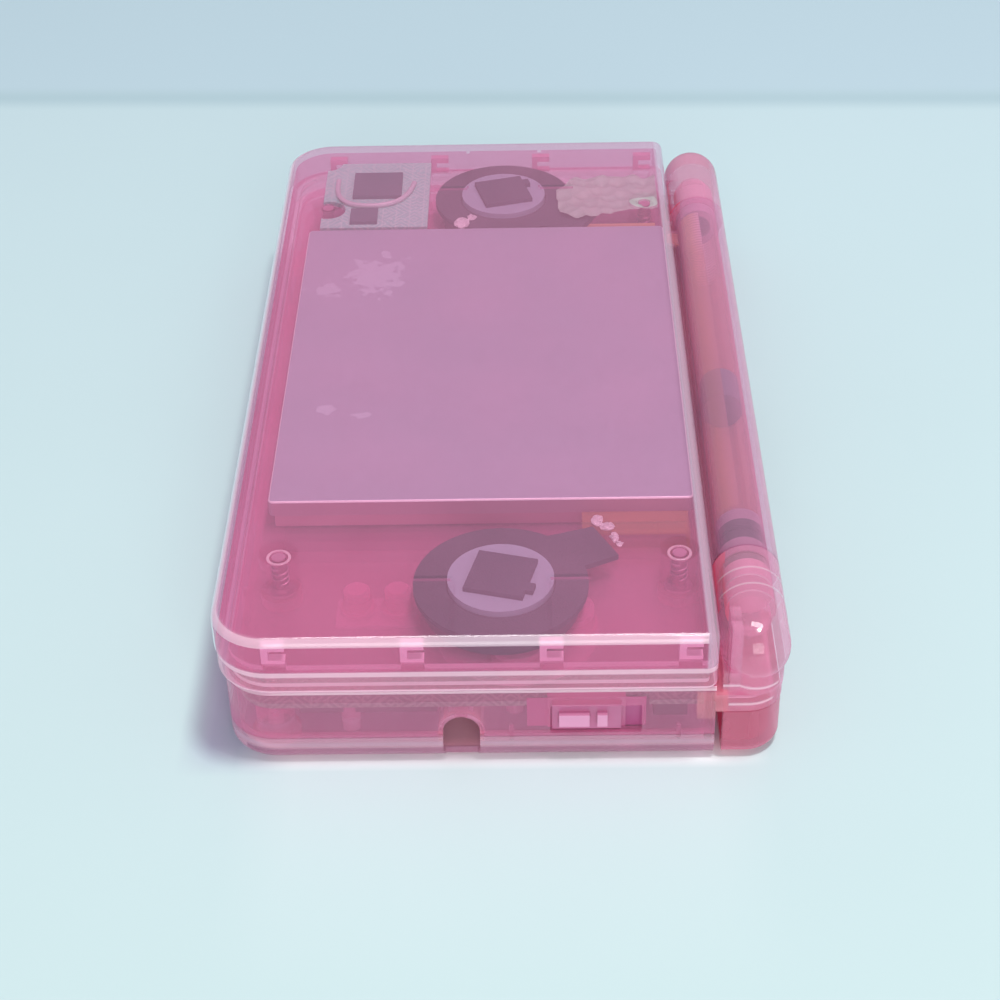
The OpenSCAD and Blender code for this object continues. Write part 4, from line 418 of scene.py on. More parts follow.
# ---------------------------------------------------------------- upper display and its back plate
# A shallow tray of satin zinc-plated steel lies over the display module, face up under the cover.
# Its turned-down sides are painted in shade, its small bend carries a painted highlight, a bright
# line, and dried adhesive is left on it. The module below is black glass and plastic.
PLATE_TOP, PLATE_BEND_HIGHLIGHT, PLATE_SIDE_SHADE = "#ADB9C5", "#F4F4F6", "#B18C9E"
MODULE_FRAME = "#C08A9E"
RESIDUE_TONE = "#C3D6DE"
RESIDUES = [((-24.6, -20.0), (5.6, 4.4)), ((-20.6, -27.8), (1.8, 2.6)), ((12.8, -25.4), (1.2, 1.7)),
            ((14.3, -20.8), (0.9, 1.6))]
GRAIN = 0.0012


def grained(name, colour, rough, grain, deep, metal=0.0, vary=0.05, patchy=0.06):
    """An opaque finish with a speckle of size grain and height deep, in metres. vary is its change of tone."""
    made, tree, out, place = material(name)
    speckle = add(tree, "ShaderNodeTexNoise", {"Vector": place, "Scale": 1 / grain, "Detail": 4.0})
    patches = add(tree, "ShaderNodeTexNoise", {"Vector": place, "Scale": 1 / (12 * grain), "Detail": 2.0})
    level = add(tree, "ShaderNodeMapRange", {0: patches.outputs[0], 1: 0.3, 2: 0.7, 3: 1 - vary, 4: 1 + vary})
    tone = add(tree, "ShaderNodeVectorMath", {0: linear(colour)[:3], 3: level.outputs[0]}, operation="SCALE")
    dull = add(tree, "ShaderNodeMapRange", {0: speckle.outputs[0], 1: 0.3, 2: 0.7, 3: rough - patchy, 4: rough + patchy})
    bump = add(tree, "ShaderNodeBump", {"Height": speckle.outputs[0], "Distance": deep})
    shade = add(tree, "ShaderNodeBsdfPrincipled", {"Base Color": tone.outputs[0], "Metallic": metal,
                                                   "Roughness": dull.outputs[0], "Normal": bump.outputs[0]})
    tree.links.new(shade.outputs[0], out.inputs[0])
    return made, tree, shade, place


def over(tree, shade, mask, colour, socket="Base Color"):
    """Lays a second colour over what feeds a colour socket, where the mask is 1."""
    below = shade.inputs[socket].links[0].from_socket
    mixed = add(tree, "ShaderNodeMix", {0: mask, 6: below, 7: linear(colour)}, data_type="RGBA")
    tree.links.new(mixed.outputs[2], shade.inputs[socket])


plate, tree, shade, place = grained("satin_zinc_plated_steel", PLATE_TOP, 0.42, GRAIN, 0.000006, metal=0.15, vary=0.02)
facing = add(tree, "ShaderNodeSeparateXYZ", {0: tree.nodes["Texture Coordinate"].outputs["Normal"]}).outputs["Z"]
side = add(tree, "ShaderNodeMapRange", {0: facing, 1: 0.25, 2: 0.05, 3: 0.0, 4: 1.0})
bend_highlight = between(tree, facing, 0.15, 0.93, 0.03)
# dried adhesive: ragged pale films, each an ellipse broken up by noise
ragged = add(tree, "ShaderNodeTexNoise", {"Vector": place, "Scale": 450.0, "Detail": 3.0})
for (across, back), (wide, deep) in RESIDUES:
    from_middle = add(tree, "ShaderNodeVectorMath", {0: place, 1: (across * MM, back * MM, 0)}, operation="SUBTRACT")
    squeezed = add(tree, "ShaderNodeVectorMath", {0: from_middle.outputs[0], 1: (1 / (wide * MM), 1 / (deep * MM), 0)},
                   operation="MULTIPLY")
    reach = add(tree, "ShaderNodeVectorMath", {0: squeezed.outputs[0]}, operation="LENGTH")
    torn = add(tree, "ShaderNodeMath", {0: ragged.outputs[0], 1: -3.2, 2: reach.outputs["Value"]}, operation="MULTIPLY_ADD")
    film = add(tree, "ShaderNodeMapRange", {0: torn.outputs[0], 1: -0.62, 2: -0.86, 3: 0.0, 4: 0.85})
    over(tree, shade, film.outputs[0], RESIDUE_TONE)
# painted highlight along the bend, and painted shade on the turned-down sides
over(tree, shade, bend_highlight, PLATE_BEND_HIGHLIGHT)
over(tree, shade, side.outputs[0], PLATE_SIDE_SHADE)
dress(plate, "display_back_plate")

# black display glass: deep, even and polished, with the faint violet of its polariser
glass, tree, shade, place = grained("black_display_glass", "#14131C", 0.09, 0.004, 0.0000002, vary=0.10, patchy=0.01)
shade.inputs["Coat Weight"].default_value = 0.3
dress(glass, "lower_display", "touch_panel", "upper_window")
# the upper module shows its moulded frame at the sides, below the plate
module, tree, shade, place = grained("black_glass_in_pale_frame", "#14131C", 0.12, 0.002, 0.000002, patchy=0.02)
facing = add(tree, "ShaderNodeSeparateXYZ", {0: tree.nodes["Texture Coordinate"].outputs["Normal"]}).outputs["Z"]
over(tree, shade, between(tree, facing, -0.5, 0.5, 0.1), MODULE_FRAME)
dress(module, "upper_display")

# ---------------------------------------------------------------- speakers
# One small speaker sits face down at each end of the lid: a black pressed basket with a plated
# magnet cup on it, sealed by a ring of black cell foam with a tab for the leads, and held down
# by a square foam pad that was stuck on slightly turned.
BASKET, MAGNET = "#403F48", "#9DB6C0"
FOAM_TONE, PAD_TONE = "#3A434C", "#304450"
FOAM_CELL = 0.0005
basket_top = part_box("speaker_gaskets")[0][2]

cup, tree, shade, place = grained("black_plastic_and_plated_steel", BASKET, 0.45, 0.0006, 0.000012)
height = add(tree, "ShaderNodeSeparateXYZ", {0: place}).outputs["Z"]
raised = add(tree, "ShaderNodeMapRange", {0: height, 1: basket_top + 0.2 * MM, 2: basket_top + 0.3 * MM, 3: 0.0, 4: 1.0})
over(tree, shade, raised.outputs[0], MAGNET)
dress(cup, "speaker_left", "speaker_right")


def cell_foam(name, colour):
    """Closed-cell foam: matt, with open skin cells about half a millimetre wide."""
    made, tree, shade, place = grained(name, colour, 0.92, 0.0008, 0.00004, vary=0.08)
    cells = add(tree, "ShaderNodeTexVoronoi", {"Vector": place, "Scale": 1 / FOAM_CELL}, feature="DISTANCE_TO_EDGE")
    pits = add(tree, "ShaderNodeBump", {"Height": cells.outputs[0], "Distance": 0.00008})
    tree.links.new(pits.outputs[0], shade.inputs["Normal"])
    return made


dress(cell_foam("black_cell_foam", FOAM_TONE), "speaker_gaskets")
dress(cell_foam("dark_pad_foam", PAD_TONE), "speaker_pads")

# ---------------------------------------------------------------- glue on the speaker leads
# Dabs of clear hot-melt glue hold the speaker leads where they leave the foam rings. Each is a
# soft, lumpy drop, a little cloudy, that was pressed flat while warm.
GLUE_DROPS = [((38.9, 13.0), (1.4, 0.9, 0.32)), ((40.2, 14.3), (1.0, 1.2, 0.28)), ((42.6, 15.2), (1.3, 0.7, 0.30)),
              ((43.9, 15.8), (0.7, 0.6, 0.22)), ((-42.6, -6.9), (2.0, 1.4, 0.45)), ((-44.6, -5.2), (1.0, 0.9, 0.30))]
glue_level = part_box("speaker_gaskets")[1][2]
glue = clear_plastic("clear_hot_melt_glue", "#FFFFFF", "#FFFFFF", "#FFFFFF", 0.36, 0.18)[0]
lumps = bpy.data.textures.new("glue_lumps", "CLOUDS")
lumps.noise_scale = 0.9 * MM


def settle(piece, name, body, finish, angle=35):
    """Ends a piece: its place goes into its mesh, and it gets its name, finish, shading and body."""
    bpy.ops.object.mode_set(mode="OBJECT")
    bpy.ops.object.select_all(action="DESELECT")
    piece.select_set(True)
    bpy.context.view_layer.objects.active = piece
    bpy.ops.object.transform_apply(location=True, rotation=True, scale=True)
    bpy.ops.object.shade_smooth_by_angle(angle=math.radians(angle))
    piece.name = name
    piece.data.materials.clear()
    piece.data.materials.append(finish)
    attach(piece, body)


def apply_modifiers(piece):
    """Makes the piece's modifiers part of its mesh."""
    bpy.ops.object.select_all(action="DESELECT")
    piece.select_set(True)
    bpy.context.view_layer.objects.active = piece
    for modifier in list(piece.modifiers):
        bpy.ops.object.modifier_apply(modifier=modifier.name)


for count, ((across, back), (wide, deep, high)) in enumerate(GLUE_DROPS, 1):
    bpy.ops.object.select_all(action="DESELECT")
    bpy.ops.mesh.primitive_uv_sphere_add(segments=32, ring_count=16, radius=1,
                                         location=(across * MM, back * MM, glue_level + high * 0.7 * MM))
    drop = bpy.context.object
    drop.scale = (wide * MM, deep * MM, high * MM)
    bpy.ops.object.transform_apply(location=False, rotation=False, scale=True)
    bpy.ops.object.mode_set(mode="EDIT")
    bpy.ops.mesh.bisect(plane_co=(across * MM, back * MM, glue_level), plane_no=(0, 0, -1), use_fill=True, clear_outer=True)
    bpy.ops.object.mode_set(mode="OBJECT")
    swell = drop.modifiers.new("swell", "DISPLACE")
    swell.texture = lumps
    swell.texture_coords = "GLOBAL"
    swell.strength = 0.8 * MM
    swell.mid_level = 0.7
    apply_modifiers(drop)
    settle(drop, f"glue_drop_{count}", "lid", glue, 60)

# ---------------------------------------------------------------- antenna board
# A small grey circuit board in the far front corner, with a black radio chip, a plug, and a thin
# aerial lead in a pale jacket that is soldered at both ends and bent round the chip.
BOARD_GREY, COPPER_GREY, CHIP_BLACK = "#9CE2D0", "#BFEEDF", "#456A6C"
TRACK_STEP = 0.0016
LEAD_PATH = [(-56.5, -28.2), (-53.5, -28.3), (-50.6, -27.9), (-48.5, -26.3), (-47.6, -24.0), (-47.5, -21.4),
             (-48.2, -18.8), (-50.0, -16.8), (-52.6, -15.7), (-55.4, -15.2)]
LEAD_RADIUS = 0.42
antenna_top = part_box("antenna_board")[1][2]


def circuit(name, mask_colour, track_colour, step):
    """Solder mask over copper: tracks show as slightly raised, lighter bands that turn at right angles."""
    made, tree, shade, place = grained(name, mask_colour, 0.38, 0.0007, 0.000008)
    blocks = add(tree, "ShaderNodeTexBrick", {"Vector": place, "Scale": 1 / (4 * step), "Mortar Size": 0.02,
                                              "Mortar Smooth": 0.1, "Bias": 0.0, "Brick Width": 0.9, "Row Height": 0.35})
    runs = add(tree, "ShaderNodeTexVoronoi", {"Vector": place, "Scale": 1 / (3 * step)}, distance="MANHATTAN",
               feature="F1")
    bands = add(tree, "ShaderNodeMath", {0: runs.outputs[0], 1: 9.0}, operation="MULTIPLY")
    wave = add(tree, "ShaderNodeMath", {0: bands.outputs[0], 1: 1.0}, operation="PINGPONG")
    track = add(tree, "ShaderNodeMapRange", {0: wave.outputs[0], 1: 0.55, 2: 0.65, 3: 0.0, 4: 0.7})
    over(tree, shade, track.outputs[0], track_colour)
    gap = add(tree, "ShaderNodeMath", {0: 0.6, 1: blocks.outputs["Fac"]}, operation="MULTIPLY")
    over(tree, shade, gap.outputs[0], track_colour)
    step_up = add(tree, "ShaderNodeBump", {"Height": track.outputs[0], "Distance": 0.00003})
    tree.links.new(step_up.outputs[0], shade.inputs["Normal"])
    return made


dress(circuit("grey_solder_mask", BOARD_GREY, COPPER_GREY, TRACK_STEP), "antenna_board")
chip, tree, shade, place = grained("black_epoxy", CHIP_BLACK, 0.55, 0.0004, 0.00002)
dress(chip, "antenna_parts")

jacket, tree, shade, place = grained("pale_ptfe_jacket", "#C9D6D4", 0.35, 0.0005, 0.000005)
path = bpy.data.curves.new("aerial_lead", "CURVE")
path.dimensions = "3D"
path.bevel_depth = LEAD_RADIUS * MM
path.bevel_resolution = 5
path.use_fill_caps = True
path.resolution_u = 6
route = path.splines.new("NURBS")
route.points.add(len(LEAD_PATH) - 1)
for point, (across, back) in zip(route.points, LEAD_PATH):
    point.co = (across * MM, back * MM, antenna_top + LEAD_RADIUS * MM, 1)
route.order_u = 4
route.use_endpoint_u = True
lead = bpy.data.objects.new("aerial_lead", path)
bpy.context.scene.collection.objects.link(lead)
bpy.ops.object.select_all(action="DESELECT")
lead.select_set(True)
bpy.context.view_layer.objects.active = lead
bpy.ops.object.convert(target="MESH")
lead = bpy.context.object
settle(lead, "aerial_lead", "lid", jacket, 50)

# ---------------------------------------------------------------- tape over the far speaker's leads
# A strip of white acetate tape, torn off by hand and pressed down over the leads and the end of
# the flat cable. It is crumpled into sharp folds under a millimetre high, and light shows through.
TAPE_OUTLINE = [(-56.9, 12.2), (-52.2, 8.9), (-45.0, 9.4), (-43.4, 12.4), (-46.0, 25.9), (-57.1, 25.9)]
TAPE_FOLD = 1.15
tape_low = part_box("flex_tape")[0][2]

acetate, tree, out, place = material("white_acetate_tape")
fibres = add(tree, "ShaderNodeTexNoise", {"Vector": place, "Scale": 2500.0, "Detail": 3.0})
cloudy = add(tree, "ShaderNodeTexNoise", {"Vector": place, "Scale": 400.0, "Detail": 3.0})
tone = add(tree, "ShaderNodeMix", {0: cloudy.outputs[0], 6: linear("#A6D2BC"), 7: linear("#CCEED8")}, data_type="RGBA")
ribs = add(tree, "ShaderNodeBump", {"Height": fibres.outputs[0], "Distance": 0.00004})
cloth = add(tree, "ShaderNodeBsdfPrincipled", {"Base Color": tone.outputs[2], "Roughness": 0.6,
                                               "Normal": ribs.outputs[0]})
gap = add(tree, "ShaderNodeBsdfTransparent", {0: linear("#F4F4EE")})
thin = add(tree, "ShaderNodeMapRange", {0: cloudy.outputs[0], 1: 0.3, 2: 0.7, 3: 0.15, 4: 0.35})
sheer = add(tree, "ShaderNodeMixShader", {0: thin.outputs[0], 1: cloth.outputs[0], 2: gap.outputs[0]})
tree.links.new(sheer.outputs[0], out.inputs[0])

bpy.ops.object.select_all(action="DESELECT")
bpy.ops.mesh.primitive_grid_add(x_subdivisions=90, y_subdivisions=90, size=20 * MM,
                                location=(-50.2 * MM, 17.4 * MM, tape_low + 0.1 * MM))
tape = bpy.context.object
bpy.ops.object.transform_apply(location=True, rotation=True, scale=True)
bpy.ops.object.mode_set(mode="EDIT")
for start, end in zip(TAPE_OUTLINE, TAPE_OUTLINE[1:] + TAPE_OUTLINE[:1]):
    run, rise = end[0] - start[0], end[1] - start[1]
    length = math.hypot(run, rise)
    bpy.ops.mesh.select_all(action="SELECT")
    bpy.ops.mesh.bisect(plane_co=(start[0] * MM, start[1] * MM, 0), plane_no=(rise / length, -run / length, 0),
                        clear_outer=True)
bpy.ops.object.mode_set(mode="OBJECT")
creases = bpy.data.textures.new("tape_creases", "VORONOI")
creases.noise_scale = 2.6 * MM
folds = bpy.data.textures.new("tape_folds", "CLOUDS")
folds.noise_scale = 3.4 * MM
for label, texture, strength in (("crease", creases, TAPE_FOLD), ("fold", folds, 0.5 * TAPE_FOLD)):
    crumple = tape.modifiers.new(label, "DISPLACE")
    crumple.texture = texture
    crumple.texture_coords = "GLOBAL"
    crumple.direction = "Z"
    crumple.mid_level = 0.1
    crumple.strength = strength * MM
wall = tape.modifiers.new("thickness", "SOLIDIFY")
wall.thickness = 0.06 * MM
apply_modifiers(tape)
settle(tape, "crumpled_tape", "lid", acetate, 25)
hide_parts("flex_tape")

# ---------------------------------------------------------------- flat cables
# Orange polyimide film with copper tracks inside: the display cable steps down from the panel and
# rolls up inside the hinge barrel, and the near speaker's lead is cut from the same film. The film
# is clear amber, so it only tints what lies under it.
FILM_CLEAR, FILM_TONE, COPPER = "#FBE9D6", "#F0CC9C", "#E3B488"
FILM_SHADE = "#EBC4D2"
FILM_TRACK = 0.0008

film, tree, out, place = material("orange_polyimide_film")
apart = add(tree, "ShaderNodeSeparateXYZ", {0: place}).outputs
stripe = add(tree, "ShaderNodeMath", {0: apart["X"], 1: 1 / FILM_TRACK}, operation="MULTIPLY")
wave = add(tree, "ShaderNodeMath", {0: stripe.outputs[0], 1: 0.5}, operation="PINGPONG")
track = add(tree, "ShaderNodeMapRange", {0: wave.outputs[0], 1: 0.22, 2: 0.28, 3: 0.0, 4: 1.0})
tone = add(tree, "ShaderNodeMix", {0: track.outputs[0], 6: linear(FILM_TONE), 7: linear(COPPER)}, data_type="RGBA")
rolled = add(tree, "ShaderNodeMapRange", {0: apart["Y"], 1: 30.6 * MM, 2: 32.4 * MM, 3: 0.0, 4: 1.0})
tone = add(tree, "ShaderNodeMix", {0: rolled.outputs[0], 6: tone.outputs[2], 7: linear(FILM_SHADE)}, data_type="RGBA")
raised = add(tree, "ShaderNodeBump", {"Height": track.outputs[0], "Distance": 0.000003})
cover = add(tree, "ShaderNodeBsdfPrincipled", {"Base Color": tone.outputs[2], "Roughness": 0.32,
                                               "Normal": raised.outputs[0]})
amber = add(tree, "ShaderNodeBsdfTransparent", {0: linear(FILM_CLEAR)})
# two layers at the far end, one elsewhere
layers = add(tree, "ShaderNodeMapRange", {0: apart["X"], 1: -36 * MM, 2: -30 * MM, 3: 3.6, 4: 1.0})
body = add(tree, "ShaderNodeMapRange", {0: track.outputs[0], 1: 0.0, 2: 1.0, 3: 0.15, 4: 0.22})
body = add(tree, "ShaderNodeMath", {0: body.outputs[0], 1: layers.outputs[0]}, operation="MULTIPLY")
sheer = add(tree, "ShaderNodeMixShader", {0: body.outputs[0], 1: amber.outputs[0], 2: cover.outputs[0]})
tree.links.new(sheer.outputs[0], out.inputs[0])
dress(film, "lid_flex", "speaker_lead")

# ---------------------------------------------------------------- hinge parts
# A black acetal cam and a plated body make up the click clutch, a turned steel key joins it to the
# near ear, and a white acetal bush carries the far side. All are pushed into the barrel's bore.
CLUTCH_BODY, CLUTCH_CAM = "#A88796", "#111218"
KEY_STEEL, KEY_BAND = "#D29DB4", "#564B58"
CAM = (39.6, 43.6)
BAND = (46.9, 48.2)

clutch, tree, shade, place = grained("plated_steel_and_black_acetal", CLUTCH_BODY, 0.35, 0.0006, 0.000008, metal=0.1)
along = add(tree, "ShaderNodeSeparateXYZ", {0: place}).outputs["X"]
over(tree, shade, between(tree, along, CAM[0] * MM, CAM[1] * MM), CLUTCH_CAM)
dress(clutch, "hinge_clutch")

key, tree, shade, place = grained("turned_steel", KEY_STEEL, 0.35, 0.0008, 0.000001, metal=0.2, vary=0.02)
along = add(tree, "ShaderNodeSeparateXYZ", {0: place}).outputs["X"]
over(tree, shade, between(tree, along, BAND[0] * MM, BAND[1] * MM), KEY_BAND)
dress(key, "hinge_key")

acetal, tree, shade, place = grained("pink_acetal", "#C79CB2", 0.35, 0.0008, 0.000006)
dress(acetal, "hinge_bush")
microphone, tree, shade, place = grained("grey_rubber_boot", "#6B6472", 0.6, 0.0006, 0.00001)
dress(microphone, "microphone")

# ---------------------------------------------------------------- lid screws and their caps
# Four bright steel self-tapping screws come up through the panel into the cover's clear posts.
# Their rolled threads bite into the bore. Their steel is painted pink, a painted reflection of the
# pink shell around them. A soft pink cap closes each hole from below.
THREAD_PITCH, THREAD_DEEP = 0.85, 0.16
# the steel is painted pink: a painted reflection of the pink shell around the screws
bright, tree, shade, place = grained("zinc_plated_steel_painted_pink_reflection", "#BE86A0", 0.45, 0.0006, 0.000004, metal=0.35)
dress(bright, "lid_screws")
dress(clear_plastic("pink_silicone_rubber", "#F3C6D8", "#E99BBC", "#E48FB2", 0.20, 0.35)[0], "screw_caps")

low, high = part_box("lid_screws")
screw_across = high[0] - 1.9 * MM
screw_front, screw_back = low[1] + 1.9 * MM, high[1] - 1.9 * MM
thread_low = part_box("upper_display")[0][2] + 0.6 * MM
turns = int((high[2] - thread_low) / (THREAD_PITCH * MM)) - 1
bpy.ops.object.select_all(action="DESELECT")
bpy.ops.mesh.primitive_circle_add(vertices=6, radius=THREAD_DEEP * MM, fill_type="NOTHING",
                                  rotation=(math.radians(90), 0, 0), location=(1.05 * MM, 0, 0))
thread = bpy.context.object
bpy.ops.object.transform_apply(location=True, rotation=True, scale=True)
winding = thread.modifiers.new("winding", "SCREW")
winding.angle = math.radians(360)
winding.screw_offset = THREAD_PITCH * MM
winding.iterations = turns
winding.steps = 20
winding.render_steps = 20
winding.use_merge_vertices = False
apply_modifiers(thread)
bpy.ops.object.mode_set(mode="EDIT")
bpy.ops.mesh.select_all(action="SELECT")
bpy.ops.mesh.fill_holes(sides=8)
bpy.ops.mesh.select_all(action="SELECT")
bpy.ops.mesh.normals_make_consistent(inside=False)
bpy.ops.object.mode_set(mode="OBJECT")
for count, (across, back) in enumerate(((screw_across, screw_front), (screw_across, screw_back),
                                        (-screw_across, screw_front), (-screw_across, screw_back)), 1):
    copy = thread.copy()
    copy.data = thread.data.copy()
    bpy.context.scene.collection.objects.link(copy)
    copy.location = (across, back, thread_low)
    settle(copy, f"lid_screw_thread_{count}", "lid", bright, 40)
bpy.data.objects.remove(thread)

# Each bore ends in a small ring near the cover, where the screw has stressed the plastic and
# whitened it: a band a third of a millimetre wide, and the part of a post best seen from above.
RING_RADIUS, RING_WIDE, RING_DEEP = 1.65, 0.38, 0.22
ring_level = high[2]
ring_finish, tree, wall, hazy, place = clear_plastic("clear_pink_polycarbonate_ring", "#FFFFFF", "#F9CFE0", "#F9CFE0",
                                                     0.27, 0.08)
spot = add(tree, "ShaderNodeSeparateXYZ", {0: place}).outputs
far_half = add(tree, "ShaderNodeMapRange", {0: spot["X"], 1: -1 * MM, 2: 1 * MM, 3: 1.0, 4: 0.0}).outputs[0]
cloud_over(tree, wall, hazy, far_half, 0.06, "#D9A5BC")
for count, (across, back) in enumerate(((screw_across, screw_front), (screw_across, screw_back),
                                        (-screw_across, screw_front), (-screw_across, screw_back)), 1):
    bpy.ops.object.select_all(action="DESELECT")
    bpy.ops.mesh.primitive_circle_add(vertices=48, radius=RING_RADIUS * MM, fill_type="NGON",
                                      location=(across, back, ring_level - RING_DEEP * MM))
    ring = bpy.context.object
    bpy.ops.object.mode_set(mode="EDIT")
    bpy.ops.mesh.select_all(action="SELECT")
    bpy.ops.mesh.inset(thickness=RING_WIDE * MM)
    bpy.ops.mesh.delete(type="FACE")
    bpy.ops.mesh.select_all(action="SELECT")
    bpy.ops.mesh.extrude_region_move(TRANSFORM_OT_translate={"value": (0, 0, RING_DEEP * MM)})
    bpy.ops.mesh.select_all(action="SELECT")
    bpy.ops.mesh.normals_make_consistent(inside=False)
    bpy.ops.mesh.bevel(offset=0.07 * MM, segments=2, affect="EDGES")
    settle(ring, f"post_ring_{count}", "lid", ring_finish, 40)

# ---------------------------------------------------------------- boards
# The main board and the small wireless board are fibreglass under green solder mask, with copper
# tracks, and small parts soldered on the side towards the floor. Through the clear case they give
# the base its dull, grey-brown depth.
MASK_GREEN, TRACK_GREEN = "#6E8272", "#8B9C8B"
dress(circuit("green_solder_mask", MASK_GREEN, TRACK_GREEN, TRACK_STEP), "main_board")
dress(circuit("blue_green_solder_mask", "#35605F", "#548280", TRACK_STEP), "wireless_board")

# Small chips and ceramic capacitors stand on the underside of the main board, between the sockets.
CHIPS = [((-4.0, 24.5), (7.0, 7.0, 0.9)), ((-16.0, 8.0), (9.0, 9.0, 1.0)), ((-18.5, -3.0), (5.0, 4.0, 0.8)),
         ((24.5, 9.5), (4.0, 6.0, 0.8)), ((40.0, -12.5), (6.0, 6.0, 0.9)), ((30.0, -14.5), (4.0, 5.0, 0.8))]
CAPACITORS = [(-10.0, 19.5), (-8.0, 19.5), (-22.0, 14.5), (-22.0, 12.5), (-12.5, -3.5), (-10.5, -3.5), (35.0, -9.0),
              (35.0, -7.5), (44.5, -18.0), (46.0, -3.5), (28.0, -9.0), (-58.5, 26.0), (-58.5, 24.0), (52.0, -30.5)]
CAPACITOR_SIZE = (1.0, 0.6, 0.55)
board_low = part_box("main_board")[0][2]
plastic_chip, tree, shade, place = grained("black_chip_epoxy", "#26262B", 0.5, 0.0003, 0.00001)
ceramic, tree, shade, place = grained("tan_ceramic_and_solder", "#A98D72", 0.35, 0.0003, 0.000005)


def soldered(name, across, back, size, finish):
    """A moulded part on the underside of the main board: a block with drafted sides and soft edges."""
    wide, deep, high = size
    bpy.ops.object.select_all(action="DESELECT")
    bpy.ops.mesh.primitive_cube_add(size=1, location=(across * MM, back * MM, board_low - high / 2 * MM))
    part = bpy.context.object
    part.scale = (wide * MM, deep * MM, high * MM)
    bpy.ops.object.transform_apply(location=False, rotation=False, scale=True)
    bpy.ops.object.mode_set(mode="EDIT")
    bpy.ops.mesh.select_all(action="SELECT")
    bpy.ops.mesh.bevel(offset=0.12 * MM, offset_type="OFFSET", segments=2, affect="EDGES")
    settle(part, name, "base", finish)


for count, ((across, back), size) in enumerate(CHIPS, 1):
    soldered(f"board_chip_{count}", across, back, size, plastic_chip)
for count, (across, back) in enumerate(CAPACITORS, 1):
    soldered(f"board_capacitor_{count}", across, back, CAPACITOR_SIZE, ceramic)

# ---------------------------------------------------------------- battery
# A lithium-ion pack in a dark grey plastic case, with a bare paper label on the side towards the
# door. The three contacts on its end are not given a gold finish.
BATTERY_CASE, BATTERY_LABEL = "#3A3D44", "#C3C7CC"
battery, tree, shade, place = grained("dark_grey_abs_and_paper_label", BATTERY_CASE, 0.5, 0.0006, 0.00001)
low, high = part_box("battery")
apart = add(tree, "ShaderNodeSeparateXYZ", {0: place}).outputs
across = between(tree, apart["X"], low[0] + 3 * MM, high[0] - 3 * MM)
along = between(tree, apart["Y"], low[1] + 3 * MM, high[1] - 4 * MM)
below = add(tree, "ShaderNodeMapRange", {0: apart["Z"], 1: low[2] + 0.1 * MM, 2: low[2] + 0.2 * MM, 3: 1.0, 4: 0.0})
flat = add(tree, "ShaderNodeMath", {0: across, 1: along}, operation="MULTIPLY")
label = add(tree, "ShaderNodeMath", {0: flat.outputs[0], 1: below.outputs[0]}, operation="MULTIPLY")
over(tree, shade, label.outputs[0], BATTERY_LABEL)
dress(battery, "battery")

# ---------------------------------------------------------------- stamped steel parts
# Shield can, card slot, cartridge frame, charge socket and power switch case are tinned or
# nickel-plated sheet, folded at soft edges; screws, pins and springs are plated steel.
tinned, tree, shade, place = grained("tinned_sheet_steel", "#7C7472", 0.42, 0.0009, 0.000006, metal=0.35)
dress(tinned, "card_slot", "cartridge_slot_frame", "charge_socket", "power_switch_unit")
can, tree, shade, place = grained("dark_nickel_silver", "#554C52", 0.5, 0.0009, 0.000006, metal=0.2)
dress(can, "shield_can")
wire, tree, shade, place = grained("nickel_plated_steel", "#C6C3C4", 0.26, 0.0006, 0.000008, metal=0.9)
dress(wire, "battery_cover_screw", "shoulder_pins", "shoulder_springs", "case_screws")

# ---------------------------------------------------------------- sockets and switches
# Black glass-filled nylon, moulded with fine flow marks: the cartridge connector, the headphone
# jack, the volume slider's frame and the shoulder switches.
nylon, tree, shade, place = grained("black_glass_filled_nylon", "#2B2B30", 0.55, 0.0005, 0.000015)
dress(nylon, "cartridge_connector", "headphone_jack", "volume_switch_unit", "shoulder_switches")

# Thin shutters of pink acetal move with the power knob, one on each side of it, and keep its slot
# closed at the back.
SHUTTERS = [((63.90, 3.20, 4.70), (64.08, 6.00, 9.50)), ((63.90, 15.80, 4.70), (64.08, 18.60, 9.50))]
acetal_film, tree, shade, place = grained("deep_pink_acetal", "#A85480", 0.4, 0.0006, 0.000006)
for count, (low, high) in enumerate(SHUTTERS, 1):
    bpy.ops.object.select_all(action="DESELECT")
    bpy.ops.mesh.primitive_cube_add(size=1, location=[(a + b) / 2 * MM for a, b in zip(low, high)])
    shutter = bpy.context.object
    shutter.scale = [(b - a) * MM for a, b in zip(low, high)]
    bpy.ops.object.transform_apply(location=False, rotation=False, scale=True)
    bpy.ops.object.mode_set(mode="EDIT")
    bpy.ops.mesh.select_all(action="SELECT")
    bpy.ops.mesh.bevel(offset=0.05 * MM, offset_type="OFFSET", segments=2, affect="EDGES")
    settle(shutter, f"power_slot_shutter_{count}", "power_slide", acetal_film)

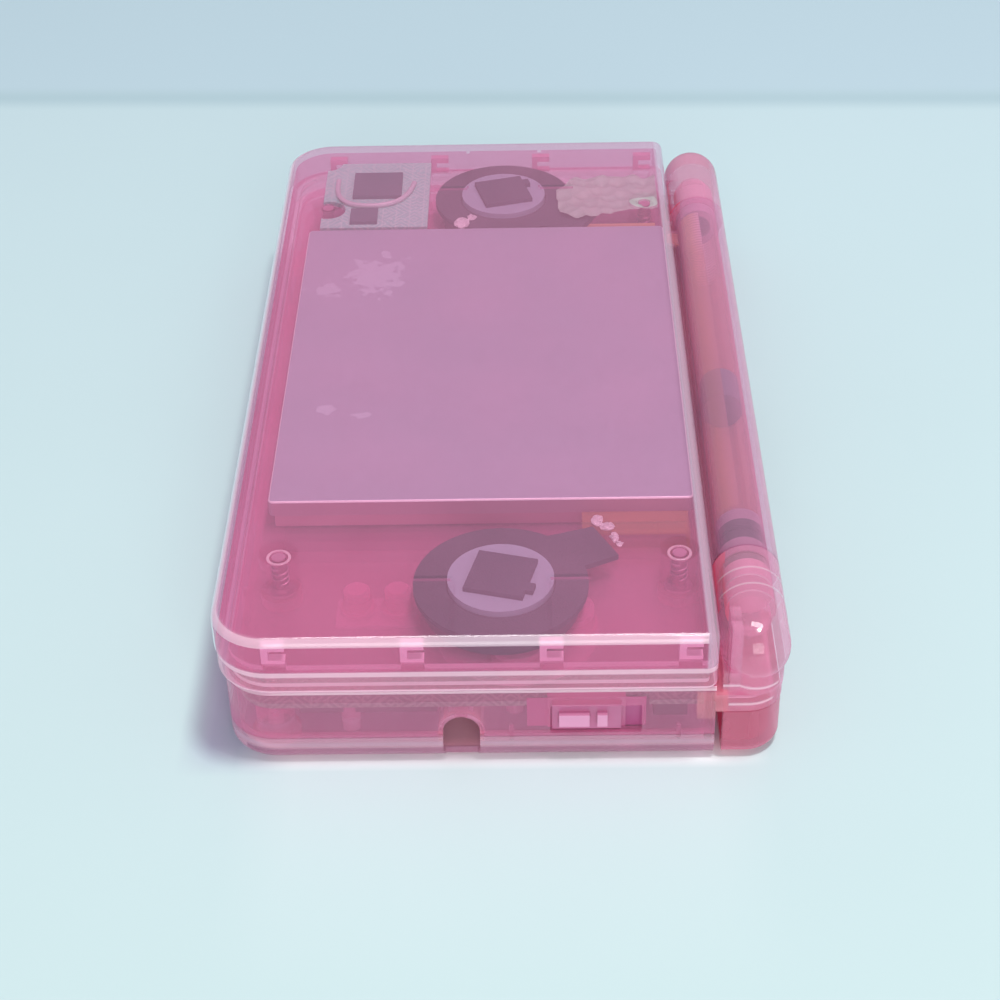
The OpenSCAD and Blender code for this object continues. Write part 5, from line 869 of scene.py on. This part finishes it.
# The cartridge connector's row of gold-plated spring contacts, each bent from flat wire.
PIN_COUNT, PIN_PITCH = 32, 1.5
PIN_WIDE, PIN_THICK = 0.6, 0.2
PIN_BEND = [(0.0, 0.0), (-1.6, 0.0), (-2.7, 0.35), (-3.4, 0.1)]
low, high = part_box("cartridge_connector")
gold, tree, shade, place = grained("gold_plated_bronze", "#D8B562", 0.25, 0.0004, 0.000004, metal=1.0)
first = (low[0] + high[0]) / 2 - (PIN_COUNT - 1) / 2 * PIN_PITCH * MM
pin_level = low[2] + 0.45 * (high[2] - low[2])
bpy.ops.object.select_all(action="DESELECT")
bpy.ops.mesh.primitive_plane_add(size=1, location=(0, 0, 0), rotation=(math.radians(90), 0, 0))
pin = bpy.context.object
pin.scale = (PIN_WIDE * MM, PIN_THICK * MM, 1)
bpy.ops.object.transform_apply(location=True, rotation=True, scale=True)
bpy.ops.object.mode_set(mode="EDIT")
bpy.ops.mesh.select_all(action="SELECT")
for (back, up), (further, higher) in zip(PIN_BEND, PIN_BEND[1:]):
    bpy.ops.mesh.extrude_region_move(TRANSFORM_OT_translate={"value": (0, (further - back) * MM, (higher - up) * MM)})
bpy.ops.mesh.select_all(action="SELECT")
bpy.ops.mesh.normals_make_consistent(inside=False)
bpy.ops.object.mode_set(mode="OBJECT")
for count in range(PIN_COUNT):
    copy = pin.copy()
    copy.data = pin.data.copy()
    bpy.context.scene.collection.objects.link(copy)
    copy.location = (first + count * PIN_PITCH * MM, low[1] + 0.4 * MM, pin_level)
    settle(copy, f"connector_pin_{count + 1:02d}", "base", gold, 30)
bpy.data.objects.remove(pin)

# ---------------------------------------------------------------- rubber parts
# Key mats and the pad's hub are white silicone, which is translucent; the four feet that cover the
# case screws are pale pink silicone with a matt skin.
silicone, tree, shade, place = grained("white_silicone", "#D9D5D6", 0.6, 0.0007, 0.00001)
dress(silicone, "pad_mat", "face_mat", "small_button_mat", "pad_hub")
feet = clear_plastic("pale_pink_silicone", "#F6D5E2", "#EFB3CA", "#E9A5C0", 0.30, 0.40)[0]
dress(feet, "rubber_feet")
